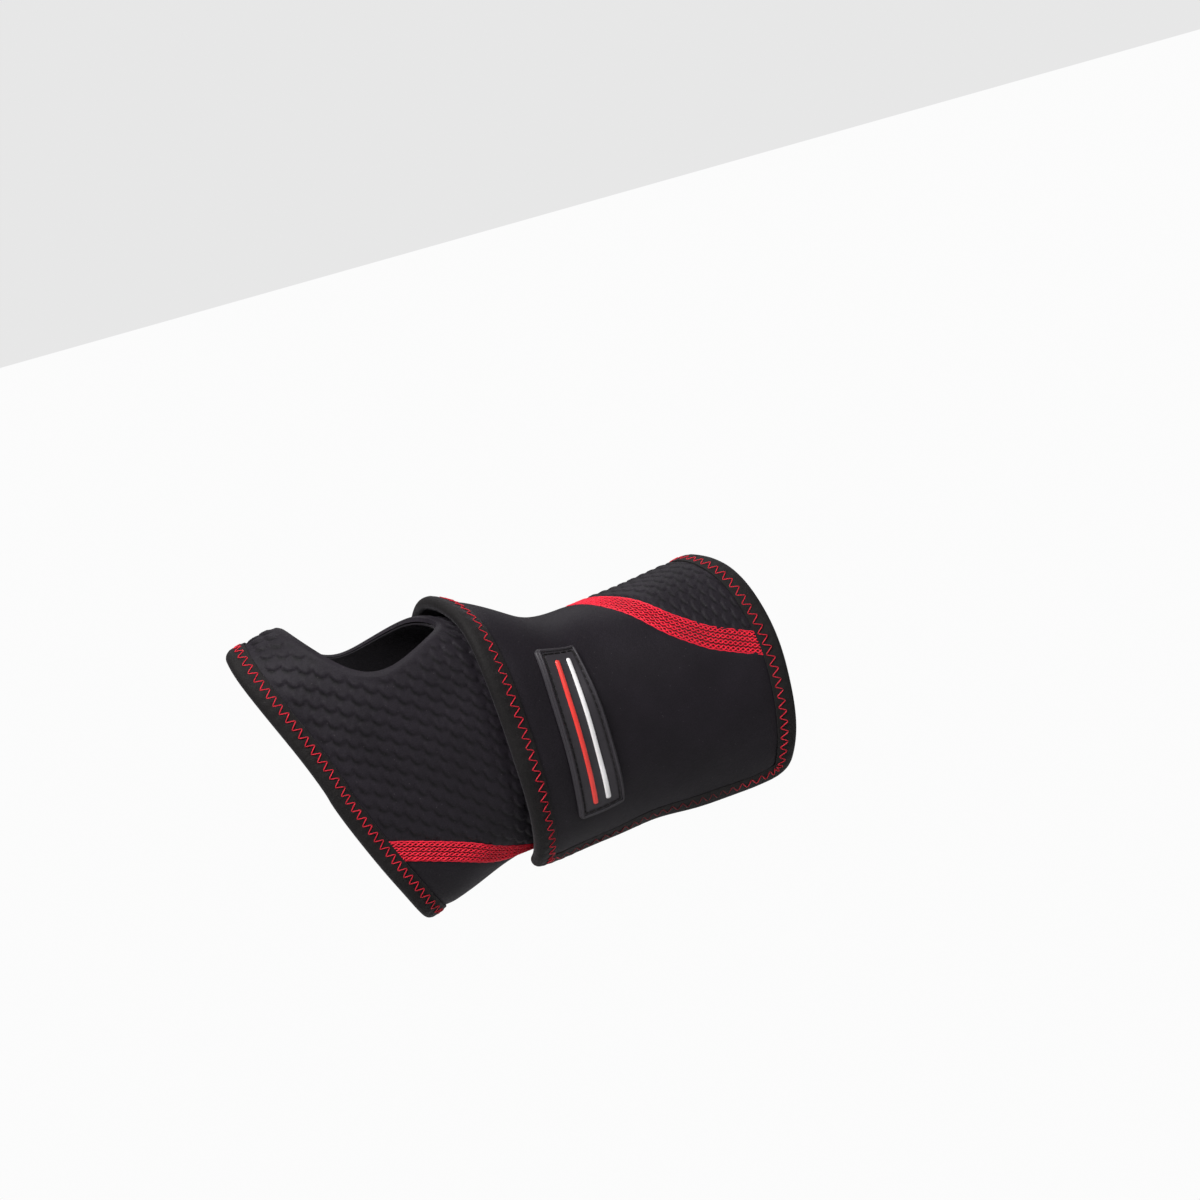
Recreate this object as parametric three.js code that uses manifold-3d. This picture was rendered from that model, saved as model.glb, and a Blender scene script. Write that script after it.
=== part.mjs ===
// Wrist support brace, worn on a right hand with the thumb up.
// Frame (mm): +X runs up the forearm, +Z to the thumb side, -Y out of the palm.
// The origin is in the middle of the wrist crease.
//
// Every soft layer follows one skin surface. A place on it is (x, u): x along the arm, and u the
// angle in degrees around it, with 0 at the palm, 90 at the thumb side and 180 at the back.
// A height h above the skin gives each layer its depth.

import * as THREE from 'three';
import { mergeVertices } from 'three/addons/utils/BufferGeometryUtils.js';
import Module from 'manifold-3d';

const wasm = await Module();
wasm.setup();

// ---------------------------------------------------------------- driving dimensions

const GAP = 0.3;
const LINING_GAP = 0.8;

// Sections of the arm from the fingers to the forearm: thumb-side and little-finger-side extents
// in Z, and palm and back extents in Y.
const SECTIONS = [
  { x: -112, top: 45, bottom: -39, palm: 8, back: 34 },
  { x: -88, top: 53, bottom: -38.5, palm: -3, back: 31 },
  { x: -64, top: 51.5, bottom: -37, palm: -13.5, back: 27.5 },
  { x: -38, top: 42.5, bottom: -28, palm: -20, back: 23 },
  { x: -14, top: 29, bottom: -27, palm: -20, back: 20 },
  { x: 4, top: 28, bottom: -28, palm: -19.5, back: 19.5 },
  { x: 28, top: 29, bottom: -30, palm: -21.5, back: 21 },
  { x: 60, top: 29, bottom: -32.5, palm: -23.5, back: 22.5 },
];
const SQUARENESS = 2.25;
const THUMB_MOUND = { x: -52, u: 54, height: 3.6, length: 26, spread: 32 };

const LINING = 0.4;
const NEOPRENE = 1.8;
const TAPE = 0.5;
const THREAD = 0.2;

const HAND_EDGE = { middle: -83.5, slant: 18.3, turn: 19 };
const CUFF_EDGE = 46;
const STRAP_FRONT_EDGE = { middle: -39.5, slant: 4 };
const STRAP_REAR_EDGE = { middle: 51, bulge: 3.5 };

const THUMB_HOLE = { x: -64.3, y: 5.6, halfLength: 21.9, halfWidth: 14.9, turn: -32.6 };

const STRAP_ANCHOR = 150;
const SWING_LINE = 98;
const PEEL_LINE = { front: -50, rear: -35 };
const STRAP_END = { front: -76, rear: -54 };
const FOLD_GAP = 2;
const END_CORNER = 7;

// Degrees kept clear of the strap's ends: its anchor stitch lies before the anchor, its embossed
// panel starts above the point where the seam meets the rear edge, and the seam's thread stops
// short at both ends.
const ANCHOR_STITCH_INSET = 4;
const TOP_PANEL_START = 6;
const STRAP_SEAM_INSET = { low: 8, high: 6 };

const BINDING_WIDTH = 6.5;
const ZIGZAG = { width: 2.4, inset: 3.9 };
const SEAM_WIDTH = 6.5;

const LABEL = { x: -17.1, slant: 2.8, from: -36, to: 50, width: 15.5, thickness: 1 };
const LABEL_RIM = { inset: 0.4, width: 0.9, height: 0.5 };
const LABEL_STITCH = { inset: 1.6, width: 0.4 };
const LABEL_CORNER = 1.2;
const LABEL_STRIPE = { from: -29, to: 43, width: 1.6, offset: 2.2 };

const HOOK_MARGIN = 1.2;
const TAB_EASE = 0.35;

// ---------------------------------------------------------------- layers, as [inner, outer]

const above = (layer, thickness, gap = GAP) => [layer[1] + gap, layer[1] + gap + thickness];

const SLEEVE_LINING = [0, LINING];
const SLEEVE_PANEL = above(SLEEVE_LINING, NEOPRENE, LINING_GAP);
const SLEEVE_TAPE = above(SLEEVE_PANEL, TAPE);
const SLEEVE_THREAD = above(SLEEVE_TAPE, THREAD);
const SLEEVE_SEAM = above(SLEEVE_PANEL, THREAD);
const STRAP_PATCH = above(SLEEVE_THREAD, TAPE);
const STRAP_LINING = above(STRAP_PATCH, LINING);
const STRAP_PANEL = above(STRAP_LINING, NEOPRENE, LINING_GAP);
const STRAP_TAPE = above(STRAP_PANEL, TAPE);
const STRAP_THREAD = above(STRAP_TAPE, THREAD);
const STRAP_SEAM = above(STRAP_PANEL, THREAD);
const LABEL_BASE = above(STRAP_PANEL, LABEL.thickness);
const LABEL_FACE = above(LABEL_BASE, LABEL_RIM.height);

// ---------------------------------------------------------------- the skin surface

const radians = THREE.MathUtils.degToRad;
const lerp = THREE.MathUtils.lerp;
const clamp = THREE.MathUtils.clamp;

function slopeAt(i, key) {
  const before = SECTIONS[Math.max(i - 1, 0)];
  const after = SECTIONS[Math.min(i + 1, SECTIONS.length - 1)];
  return (after[key] - before[key]) / (after.x - before.x);
}

function extent(x, key) {
  const next = SECTIONS.findIndex((section) => section.x >= x);
  const i = clamp(next - 1, 0, SECTIONS.length - 2);
  const a = SECTIONS[i];
  const b = SECTIONS[i + 1];
  const span = b.x - a.x;
  const t = (x - a.x) / span;
  const startSlope = slopeAt(i, key) * span;
  const endSlope = slopeAt(i + 1, key) * span;
  const rise = b[key] - a[key];
  return a[key] + t * (startSlope + t * (3 * rise - 2 * startSlope - endSlope
    + t * (startSlope + endSlope - 2 * rise)));
}

const rounded = (value) => Math.sign(value) * Math.abs(value) ** (2 / SQUARENESS);
const bell = (value) => Math.exp(-value * value);

function skinPoint(x, u) {
  const top = extent(x, 'top');
  const bottom = extent(x, 'bottom');
  const palm = extent(x, 'palm');
  const back = extent(x, 'back');
  const turn = THREE.MathUtils.euclideanModulo(u - THUMB_MOUND.u + 180, 360) - 180;
  const mound = THUMB_MOUND.height * bell((x - THUMB_MOUND.x) / THUMB_MOUND.length)
    * bell(turn / THUMB_MOUND.spread);
  return new THREE.Vector3(
    x,
    (palm + back) / 2 - (back - palm) / 2 * rounded(Math.cos(radians(u))) - mound,
    (top + bottom) / 2 + (top - bottom) / 2 * rounded(Math.sin(radians(u))),
  );
}

function skinNormal(x, u) {
  const step = 0.01;
  const alongX = skinPoint(x + step, u).sub(skinPoint(x - step, u));
  const alongU = skinPoint(x, u + step).sub(skinPoint(x, u - step));
  return alongX.cross(alongU).normalize();
}

function place(x, u, h) {
  return skinPoint(x, u).addScaledVector(skinNormal(x, u), h);
}

// The length of one degree around the arm, at a height above the skin.
const degreeLength = (x, u, h) => place(x, u, h).distanceTo(place(x, u + 1, h));

// ---------------------------------------------------------------- the two cloth sheets
// A sheet turns (s, u) into x: s is 0 on its edge nearer the fingers and 1 on the other.

const handEdge = (u) => HAND_EDGE.middle - HAND_EDGE.slant * Math.sin(radians(u + HAND_EDGE.turn));
const strapFrontEdge = (u) => STRAP_FRONT_EDGE.middle
  - STRAP_FRONT_EDGE.slant * Math.sin(radians(u));
const strapRearEdge = (u) => STRAP_REAR_EDGE.middle
  + STRAP_REAR_EDGE.bulge * Math.max(0, Math.cos(radians(u)));

const sleeveSheet = (s, u) => lerp(handEdge(u), CUFF_EDGE, s);
const strapSheet = (s, u) => lerp(strapFrontEdge(u), strapRearEdge(u), s);

// The panel seams, each as a curve u(s) or s(u) through the places that it passes.
function through(points, value) {
  const i = clamp(points.findIndex(([at]) => at >= value) - 1, 0, points.length - 2);
  const [a, b] = [points[i], points[i + 1]];
  return lerp(a[1], b[1], clamp((value - a[0]) / (b[0] - a[0]), 0, 1));
}

function smoothCurve(points, count = 24) {
  const curve = new THREE.SplineCurve(points.map(([x, y]) => new THREE.Vector2(x, y)));
  return curve.getPoints(count).map((point) => [point.x, point.y]);
}

const PALM_SEAM = smoothCurve([
  [-90, -22], [-73, -25], [-56, -37], [-38, -64], [-18, -77], [50, -80],
]);
const palmSeam = (x) => through(PALM_SEAM, x);
const backSeam = (x) => 180 - palmSeam(x);

const STRAP_SEAM_LINE = smoothCurve([
  [16, 1], [26, 0.85], [34, 0.76], [50, 0.67], [77, 0.6], [100, 0.55],
]);
const strapSeam = (u) => (u <= STRAP_SEAM_LINE[0][0] ? 1 : through(STRAP_SEAM_LINE, u));

// ---------------------------------------------------------------- solids on the sheets

function bend(geometry, map) {
  const position = geometry.attributes.position;
  const point = new THREE.Vector3();
  for (let i = 0; i < position.count; i += 1) {
    point.fromBufferAttribute(position, i);
    const bent = map(point.x, point.y, point.z);
    position.setXYZ(i, bent.x, bent.y, bent.z);
  }
  return closed(geometry);
}

// One closed mesh with shared corners. A bend can turn a solid inside out, so its faces are
// reversed when its volume comes out negative.
function closed(geometry) {
  geometry.deleteAttribute('normal');
  geometry.deleteAttribute('uv');
  const merged = mergeVertices(geometry, 1e-4);
  if (volume(merged) < 0) merged.index.array.reverse();
  return merged;
}

function volume(geometry) {
  const [a, b, c] = [new THREE.Vector3(), new THREE.Vector3(), new THREE.Vector3()];
  const { position } = geometry.attributes;
  let total = 0;
  for (let i = 0; i < geometry.index.count; i += 3) {
    a.fromBufferAttribute(position, geometry.index.getX(i));
    b.fromBufferAttribute(position, geometry.index.getX(i + 1));
    c.fromBufferAttribute(position, geometry.index.getX(i + 2));
    total += a.dot(b.cross(c)) / 6;
  }
  return total;
}

// A panel: region(s, t) gives its place (x, u) for s and t from 0 to 1.
function panel(region, [inner, outer], [alongArm, aroundArm]) {
  const box = new THREE.BoxGeometry(1, 1, 1, alongArm, aroundArm, 1);
  return bend(box, (a, b, c) => {
    const [x, u] = region(a + 0.5, b + 0.5);
    return place(x, u, lerp(inner, outer, c + 0.5));
  });
}

// The place d millimetres to the left of a path around the arm, at the path's parameter t. Lengths
// are measured at the height level.
function besidePath(path, t, d, level) {
  const step = 1e-3;
  const [x, u] = path(t);
  const along = place(...path(t + step), level).sub(place(...path(t - step), level));
  const alongX = place(x + step, u, level).sub(place(x - step, u, level)).divideScalar(2 * step);
  const alongU = place(x, u + step, level).sub(place(x, u - step, level)).divideScalar(2 * step);
  const left = skinNormal(x, u).cross(along).normalize();
  const xx = alongX.dot(alongX);
  const xu = alongX.dot(alongU);
  const uu = alongU.dot(alongU);
  const lx = left.dot(alongX);
  const lu = left.dot(alongU);
  const scale = d / (xx * uu - xu * xu);
  return [x + scale * (uu * lx - xu * lu), u + scale * (xx * lu - xu * lx)];
}

const topOf = (outline) => Math.max(...outline.map(([, h]) => h));

// An open strip: outline points are (distance beside the path, height above the skin).
function strip(outline, path, steps) {
  const level = topOf(outline);
  const shape = new THREE.Shape(outline.map(([d, h]) => new THREE.Vector2(d, h)));
  const prism = new THREE.ExtrudeGeometry(shape, { depth: 1, steps, bevelEnabled: false });
  return bend(prism, (d, h, t) => place(...besidePath(path, t, d, level), h));
}

// A closed ring: the same outline taken once around the arm.
function ring(outline, path, segments) {
  const level = topOf(outline);
  const clear = 10;
  const profile = outline.map(([d, h]) => new THREE.Vector2(h + clear, d));
  profile.push(profile[0].clone());
  const lathe = new THREE.LatheGeometry(profile, segments);
  return bend(lathe, (x, d, z) => {
    const turn = Math.atan2(x, z) / (2 * Math.PI);
    return place(...besidePath(path, turn, d, level), Math.hypot(x, z) - clear);
  });
}

// Outlines for strips and rings. Each long side has a point in its middle, to follow the skin.
const side = (from, to, h) => [[from, h], [(from + to) / 2, h], [to, h]];
const band = (from, to, [inner, outer]) => [...side(from, to, inner), ...side(to, from, outer)];
const centred = (width, layer) => band(-width / 2, width / 2, layer);

// Binding tape folded over a cloth edge: the edge is at d = 0 and the cloth at d > 0.
function foldedTape(inside, outside) {
  const front = -GAP - TAPE;
  return [
    ...side(front, BINDING_WIDTH, inside - TAPE),
    ...side(BINDING_WIDTH, -GAP, inside),
    ...side(-GAP, BINDING_WIDTH, outside - TAPE),
    ...side(BINDING_WIDTH, front, outside),
  ];
}

const SLEEVE_BINDING = foldedTape(SLEEVE_LINING[0] - 2 * GAP, SLEEVE_TAPE[1]);
const STRAP_BINDING = foldedTape(STRAP_LINING[0] - GAP, STRAP_TAPE[1]);
const zigzag = ([inner, outer]) => {
  const far = ZIGZAG.inset + ZIGZAG.width;
  return [[ZIGZAG.inset, inner], [far, inner], [far, outer], [ZIGZAG.inset, outer]];
};

// ---------------------------------------------------------------- cutting

function toManifold(geometry) {
  const mesh = new wasm.Mesh({
    numProp: 3,
    vertProperties: Float32Array.from(geometry.attributes.position.array),
    triVerts: Uint32Array.from(geometry.index.array),
  });
  return new wasm.Manifold(mesh);
}

function subtract(geometry, cutter) {
  const mesh = toManifold(geometry).subtract(toManifold(cutter)).getMesh();
  const result = new THREE.BufferGeometry();
  result.setAttribute('position', new THREE.BufferAttribute(mesh.vertProperties, 3));
  result.setIndex(new THREE.BufferAttribute(mesh.triVerts, 1));
  return result;
}

function thumbCutter() {
  const height = 80;
  const oval = new THREE.Shape();
  const { x, y, halfLength, halfWidth, turn } = THUMB_HOLE;
  oval.absellipse(x, y, halfLength, halfWidth, 0, 2 * Math.PI, false, radians(turn));
  const options = { depth: height, bevelEnabled: false, curveSegments: 40 };
  return closed(new THREE.ExtrudeGeometry(oval, options));
}

// ---------------------------------------------------------------- colours and node list

const brace = new THREE.Group();

const FINISHES = {
  embossed: { color: '#2b2730', roughness: 0.72 },
  neoprene: { color: '#231e25', roughness: 0.8 },
  plush: { color: '#1c1a1e', roughness: 0.95 },
  tape: { color: '#2a2727', roughness: 0.85 },
  redThread: { color: '#d7384e', roughness: 0.6 },
  rubber: { color: '#403d40', roughness: 0.55 },
  redInk: { color: '#f84a44', roughness: 0.45 },
  whiteInk: { color: '#faf7fa', roughness: 0.45 },
  hook: { color: '#151416', roughness: 0.7 },
};

function add(name, geometry, finish) {
  const material = new THREE.MeshStandardMaterial({ ...FINISHES[finish], metalness: 0 });
  const mesh = new THREE.Mesh(geometry, material);
  mesh.name = name;
  brace.add(mesh);
}

// ---------------------------------------------------------------- sleeve

// Half of the gap between two panels at a seam, in degrees around the arm.
const SEAM_GAP = 0.5;

// The part of a sheet between two lines u = low(x) and u = high(x). The sheet's own edges depend on
// u, so the place is found by repeating both rules until they agree.
function between(sheet, low, high) {
  return (s, t) => {
    let x = sheet(s, 0);
    let u = 0;
    for (let round = 0; round < 8; round += 1) {
      u = lerp(low(x), high(x), t);
      x = sheet(s, u);
    }
    return [x, u];
  };
}

function palmPanel() {
  const low = (x) => palmSeam(x) + SEAM_GAP;
  const high = (x) => backSeam(x) - SEAM_GAP;
  const region = between(sleeveSheet, low, high);
  return subtract(panel(region, SLEEVE_PANEL, [32, 30]), thumbCutter());
}

function sidePanel() {
  const low = (x) => backSeam(x) - 360 + SEAM_GAP;
  const high = (x) => palmSeam(x) - SEAM_GAP;
  const region = between(sleeveSheet, low, high);
  return panel(region, SLEEVE_PANEL, [26, 9]);
}

// The lining is one knitted cloth whose two edges meet under the little-finger side.
function sleeveLining() {
  const region = between(sleeveSheet, () => -90 + SEAM_GAP, () => 270 - SEAM_GAP);
  return subtract(panel(region, SLEEVE_LINING, [24, 42]), thumbCutter());
}

const handPath = (t) => [handEdge(-360 * t), -360 * t];
const cuffPath = (t) => [CUFF_EDGE, 360 * t];

// The seams start and stop at the binding tapes.
function seamPath(seam) {
  const clear = BINDING_WIDTH + SEAM_WIDTH * 0.7 + GAP;
  const start = handEdge(seam(HAND_EDGE.middle)) + clear;
  const end = CUFF_EDGE - BINDING_WIDTH - GAP;
  return (t) => {
    const x = lerp(start, end, t);
    return [x, seam(x)];
  };
}

function addSleeve() {
  const seam = centred(SEAM_WIDTH, SLEEVE_SEAM);
  add('palm_panel', palmPanel(), 'embossed');
  add('side_panel', sidePanel(), 'neoprene');
  add('sleeve_lining', sleeveLining(), 'plush');
  add('hand_binding', ring(SLEEVE_BINDING, handPath, 48), 'tape');
  add('hand_binding_stitch', ring(zigzag(SLEEVE_THREAD), handPath, 48), 'redThread');
  add('cuff_binding', ring(SLEEVE_BINDING, cuffPath, 28), 'tape');
  add('cuff_binding_stitch', ring(zigzag(SLEEVE_THREAD), cuffPath, 28), 'redThread');
  add('palm_seam_stitch', strip(seam, seamPath(palmSeam), 24), 'redThread');
  add('back_seam_stitch', strip(seam, seamPath(backSeam), 24), 'redThread');
}

// ---------------------------------------------------------------- strap
// Its root is sewn to the back of the sleeve. The rest swings off the wrist about SWING_LINE, and
// its end peels up about PEEL_LINE.

const ROOT_LINE = SWING_LINE + FOLD_GAP / 2;
const SWING_TO = SWING_LINE - FOLD_GAP / 2;
const peelLine = (s) => lerp(PEEL_LINE.front, PEEL_LINE.rear, s);
const swingFrom = (s) => peelLine(s) + FOLD_GAP / 2;
const peelFrom = (s) => peelLine(s) - FOLD_GAP / 2;

// The strap's long edges, as paths between two angles.
const frontEdgePath = (from, to) => (t) => {
  const u = lerp(from, to, t);
  return [strapFrontEdge(u), u];
};
const rearEdgePath = (from, to) => (t) => {
  const u = lerp(from, to, t);
  return [strapRearEdge(u), u];
};

function addEdgeTapes(name, frontFrom, rearFrom, to, steps) {
  const front = frontEdgePath(to, frontFrom);
  const rear = rearEdgePath(rearFrom, to);
  add(`${name}_front_binding`, strip(STRAP_BINDING, front, steps), 'tape');
  add(`${name}_rear_binding`, strip(STRAP_BINDING, rear, steps), 'tape');
  add(`${name}_front_stitch`, strip(zigzag(STRAP_THREAD), front, steps), 'redThread');
  add(`${name}_rear_stitch`, strip(zigzag(STRAP_THREAD), rear, steps), 'redThread');
}

// A piece of the strap between the lines u = low(s) and u = high, where s also stays between
// from(u) and to(u), as fractions of the strap's width.
function strapPiece(low, high, from, to, layer, counts) {
  const region = (s, t) => {
    const u = lerp(low(s), high, t);
    return [strapSheet(lerp(from(u), to(u), s), u), u];
  };
  return panel(region, layer, counts);
}

const atFront = () => 0;
const atRear = () => 1;
const beforeSeam = (u) => strapSeam(u) - SEAM_GAP / 100;
const afterSeam = (u) => strapSeam(u) + SEAM_GAP / 100;

// A path across the strap at one angle, clear of both edges by a margin.
const acrossPath = (u, margin) => (t) => {
  const x = lerp(strapFrontEdge(u) + margin, strapRearEdge(u) - margin, t);
  return [x, u];
};

function addStrapRoot() {
  const doubled = [STRAP_LINING[0], STRAP_PANEL[1]];
  const root = strapPiece(() => ROOT_LINE, STRAP_ANCHOR, atFront, atRear, doubled, [12, 9]);
  const anchor = acrossPath(STRAP_ANCHOR - ANCHOR_STITCH_INSET, BINDING_WIDTH + GAP);
  add('strap_root_panel', root, 'embossed');
  add('strap_anchor_stitch', strip(centred(ZIGZAG.width, STRAP_SEAM), anchor, 14), 'redThread');
  addEdgeTapes('strap_root', ROOT_LINE, ROOT_LINE, STRAP_ANCHOR, 9);
}

function addStrap() {
  const seamFrom = STRAP_SEAM_LINE[0][0];
  const smooth = strapPiece(swingFrom, SWING_TO, atFront, beforeSeam, STRAP_PANEL, [12, 20]);
  const topFrom = () => seamFrom + TOP_PANEL_START;
  const top = strapPiece(topFrom, SWING_TO, afterSeam, atRear, STRAP_PANEL, [6, 11]);
  const lining = strapPiece(swingFrom, SWING_TO, atFront, atRear, STRAP_LINING, [12, 18]);
  const seamPlace = (t) => {
    const u = lerp(seamFrom + STRAP_SEAM_INSET.low, SWING_TO - STRAP_SEAM_INSET.high, t);
    return [strapSheet(strapSeam(u), u), u];
  };
  add('strap_panel', smooth, 'neoprene');
  add('strap_top_panel', top, 'embossed');
  add('strap_lining', lining, 'plush');
  add('strap_seam_stitch', strip(centred(SEAM_WIDTH, STRAP_SEAM), seamPlace, 24), 'redThread');
  addEdgeTapes('strap', swingFrom(0), swingFrom(1), SWING_TO, 18);
}

// ---------------------------------------------------------------- strap end

const toward = (a, b, distance) => b.clone().sub(a).setLength(distance).add(a);
const strapEnd = (s) => lerp(STRAP_END.front, STRAP_END.rear, s);
const TAB_DEGREE = degreeLength(0, (STRAP_END.front + STRAP_END.rear) / 2, STRAP_PANEL[1]);

// The tab's outline in (x, millimetres around the arm): down the front edge, across the end and
// back up the rear edge, with round corners.
function tabOutline() {
  const corner = (s, u) => new THREE.Vector2(strapSheet(s, u), u * TAB_DEGREE);
  const stops = [
    corner(0, peelFrom(0)),
    corner(0, strapEnd(0)),
    corner(1, strapEnd(1)),
    corner(1, peelFrom(1)),
  ];
  const outline = new THREE.CurvePath();
  let start = stops[0];
  for (const i of [1, 2]) {
    const arrive = toward(stops[i], stops[i - 1], END_CORNER);
    const leave = toward(stops[i], stops[i + 1], END_CORNER);
    outline.add(new THREE.LineCurve(start, arrive));
    outline.add(new THREE.QuadraticBezierCurve(arrive, stops[i], leave));
    start = leave;
  }
  outline.add(new THREE.LineCurve(start, stops[3]));
  return outline;
}

const TAB_OUTLINE = tabOutline();
const tabPath = (t) => {
  const point = TAB_OUTLINE.getPointAt(clamp(t, 0, 1));
  return [point.x, point.y / TAB_DEGREE];
};

// The tab's cloth, from the peel line to the strap's end, inset from its outline. Its columns are
// closer together near the two round corners.
function tabPiece(layer, inset, counts) {
  const region = (across, t) => {
    const eased = (1 - Math.cos(Math.PI * across)) / 2;
    const front = strapFrontEdge(PEEL_LINE.front) + inset;
    const rear = strapRearEdge(PEEL_LINE.rear) - inset;
    const x = lerp(front, rear, eased);
    const radius = Math.max(0, END_CORNER - inset);
    const past = Math.max(0, radius - Math.min(x - front, rear - x));
    const rise = inset + radius - Math.sqrt(radius * radius - past * past);
    const low = strapEnd(eased) + rise / TAB_DEGREE;
    return [x, lerp(low, peelFrom(eased), t)];
  };
  return panel(region, layer, counts);
}

function addStrapEnd() {
  const hookInset = BINDING_WIDTH + HOOK_MARGIN;
  add('strap_end_panel', tabPiece(STRAP_PANEL, TAB_EASE, [24, 3]), 'neoprene');
  add('strap_end_lining', tabPiece(STRAP_LINING, TAB_EASE, [24, 3]), 'plush');
  add('hook_patch', tabPiece(STRAP_PATCH, hookInset, [16, 2]), 'hook');
  add('strap_end_binding', strip(STRAP_BINDING, tabPath, 36), 'tape');
  add('strap_end_stitch', strip(zigzag(STRAP_THREAD), tabPath, 36), 'redThread');
}

// ---------------------------------------------------------------- label

// The label lies square to its middle line: dx is the distance from the line, up the arm.
const labelLine = (u) => [LABEL.x - LABEL.slant * Math.sin(radians(u)), u];
const labelPlace = (dx, u) => besidePath(labelLine, u, -dx, LABEL_BASE[0]);

function labelBase() {
  const region = (s, t) => labelPlace((s - 0.5) * LABEL.width, lerp(LABEL.from, LABEL.to, t));
  return panel(region, LABEL_BASE, [3, 18]);
}

// A thin frame that follows the label's outline at an inset, with round corners.
function labelFrame({ inset, width }) {
  const middle = (LABEL.from + LABEL.to) / 2;
  const scale = degreeLength(LABEL.x, LABEL.to, LABEL_BASE[1]);
  const x = LABEL.width / 2 - inset;
  const y = (LABEL.to - LABEL.from) / 2 * scale - inset;
  const corners = [[-x, -y], [x, -y], [x, y], [-x, y]].map(([a, b]) => new THREE.Vector2(a, b));
  const outline = new THREE.CurvePath();
  corners.forEach((corner, i) => {
    const next = corners[(i + 1) % 4];
    const after = corners[(i + 2) % 4];
    const arrive = toward(next, corner, LABEL_CORNER);
    outline.add(new THREE.LineCurve(toward(corner, next, LABEL_CORNER), arrive));
    outline.add(new THREE.QuadraticBezierCurve(arrive, next, toward(next, after, LABEL_CORNER)));
  });
  const path = (t) => {
    const point = outline.getPointAt(t - Math.floor(t));
    return labelPlace(point.x, middle + point.y / scale);
  };
  const [inner, outer] = LABEL_FACE;
  return ring([[0, inner], [width, inner], [width, outer], [0, outer]], path, 52);
}

// A plain raised stripe along the label, at dx from the label's middle line.
function labelStripe(dx) {
  const { from, to, width } = LABEL_STRIPE;
  const region = (s, t) => labelPlace(dx + (s - 0.5) * width, lerp(from, to, t));
  return panel(region, LABEL_FACE, [2, 18]);
}

function addLabel() {
  add('label_base', labelBase(), 'rubber');
  add('label_rim', labelFrame(LABEL_RIM), 'rubber');
  add('label_stitch', labelFrame(LABEL_STITCH), 'tape');
  add('label_red_stripe', labelStripe(-LABEL_STRIPE.offset), 'redInk');
  add('label_white_stripe', labelStripe(LABEL_STRIPE.offset), 'whiteInk');
}

addSleeve();
addStrapRoot();
addStrap();
addStrapEnd();
addLabel();

export default brace;
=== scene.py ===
"""A wrist support brace's soft goods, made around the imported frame.

Shapes are worked out in millimetres on the skin surface that the CAD layers follow, and become
metres when a mesh is made. A place on the skin is (x, u): x up the forearm and u the angle in
degrees around it, 0 at the palm, 90 at the thumb side and 180 at the back. h is a height above it.
"""

import math

import bpy
import numpy as np
from mathutils import Matrix
from mathutils.kdtree import KDTree


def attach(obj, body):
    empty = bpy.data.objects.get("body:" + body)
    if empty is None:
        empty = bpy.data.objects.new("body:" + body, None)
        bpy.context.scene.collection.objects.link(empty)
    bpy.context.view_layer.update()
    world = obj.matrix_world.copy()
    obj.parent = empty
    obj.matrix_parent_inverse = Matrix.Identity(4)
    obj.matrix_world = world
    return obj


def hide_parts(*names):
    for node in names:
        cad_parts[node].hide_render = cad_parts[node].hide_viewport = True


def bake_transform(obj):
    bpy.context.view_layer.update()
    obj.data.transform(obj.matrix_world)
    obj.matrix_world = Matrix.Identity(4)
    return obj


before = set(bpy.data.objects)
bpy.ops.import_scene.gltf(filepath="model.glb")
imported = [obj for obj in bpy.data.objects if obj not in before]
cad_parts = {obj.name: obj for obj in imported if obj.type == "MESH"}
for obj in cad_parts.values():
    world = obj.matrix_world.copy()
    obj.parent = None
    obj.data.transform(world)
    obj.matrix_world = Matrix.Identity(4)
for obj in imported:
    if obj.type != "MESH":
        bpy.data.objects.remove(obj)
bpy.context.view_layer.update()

MM = 0.001

# ---- the design's own dimensions

SECTION_X = [-112, -88, -64, -38, -14, 4, 28, 60]
SECTIONS = {
    "top": [45, 53, 51.5, 42.5, 29, 28, 29, 29],
    "bottom": [-39, -38.5, -37, -28, -27, -28, -30, -32.5],
    "palm": [8, -3, -13.5, -20, -20, -19.5, -21.5, -23.5],
    "back": [34, 31, 27.5, 23, 20, 19.5, 21, 22.5],
}
SQUARENESS = 2.25
MOUND = {"x": -52, "u": 54, "height": 3.6, "length": 26, "spread": 32}

CUFF_EDGE = 46
HAND_EDGE = {"middle": -83.5, "slant": 18.3, "turn": 19}
THUMB_HOLE = {"x": -64.3, "y": 5.6, "half_length": 21.9, "half_width": 14.9, "turn": -32.6}

# The strap's angles u: sewn on, split into two pieces, and, at its front and rear edge, peeled open
# and ended.
STRAP_ANCHOR = 150
SPLIT_LINE = 40
PEEL_LINE = (-50, -35)
STRAP_END = (-76, -54)
STRAP_FRONT = {"middle": -39.5, "slant": 4}
STRAP_REAR = {"edge": 51, "flare": 3.5}
STRAP_WIDTH = 90
END_CORNER = 7
STRAP_DEGREE = 0.62  # millimetres of strap in a degree of u

# Heights above the skin: the sleeve's and the strap's layers.
LINING = (0.0, 0.5)
PANEL = (0.9, 2.9)
TAPE_TOP = 3.7
STRAP_LINING = (5.2, 5.7)
STRAP_PANEL = (6.1, 8.1)
STRAP_TAPE_TOP = 8.9
SLEEVE_LAYERS = (-1.0, TAPE_TOP)
STRAP_LAYERS = (4.65, STRAP_TAPE_TOP)
LABEL_BASE = (8.3, 9.3)
HOOK_BASE = (4.75, 5.1)

TAPE_WIDTH = 6.3
TAPE_THICKNESS = 0.55
SEAM_WIDTH = 6.4
THREAD = 0.165
PLY_TURN = 0.9

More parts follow.
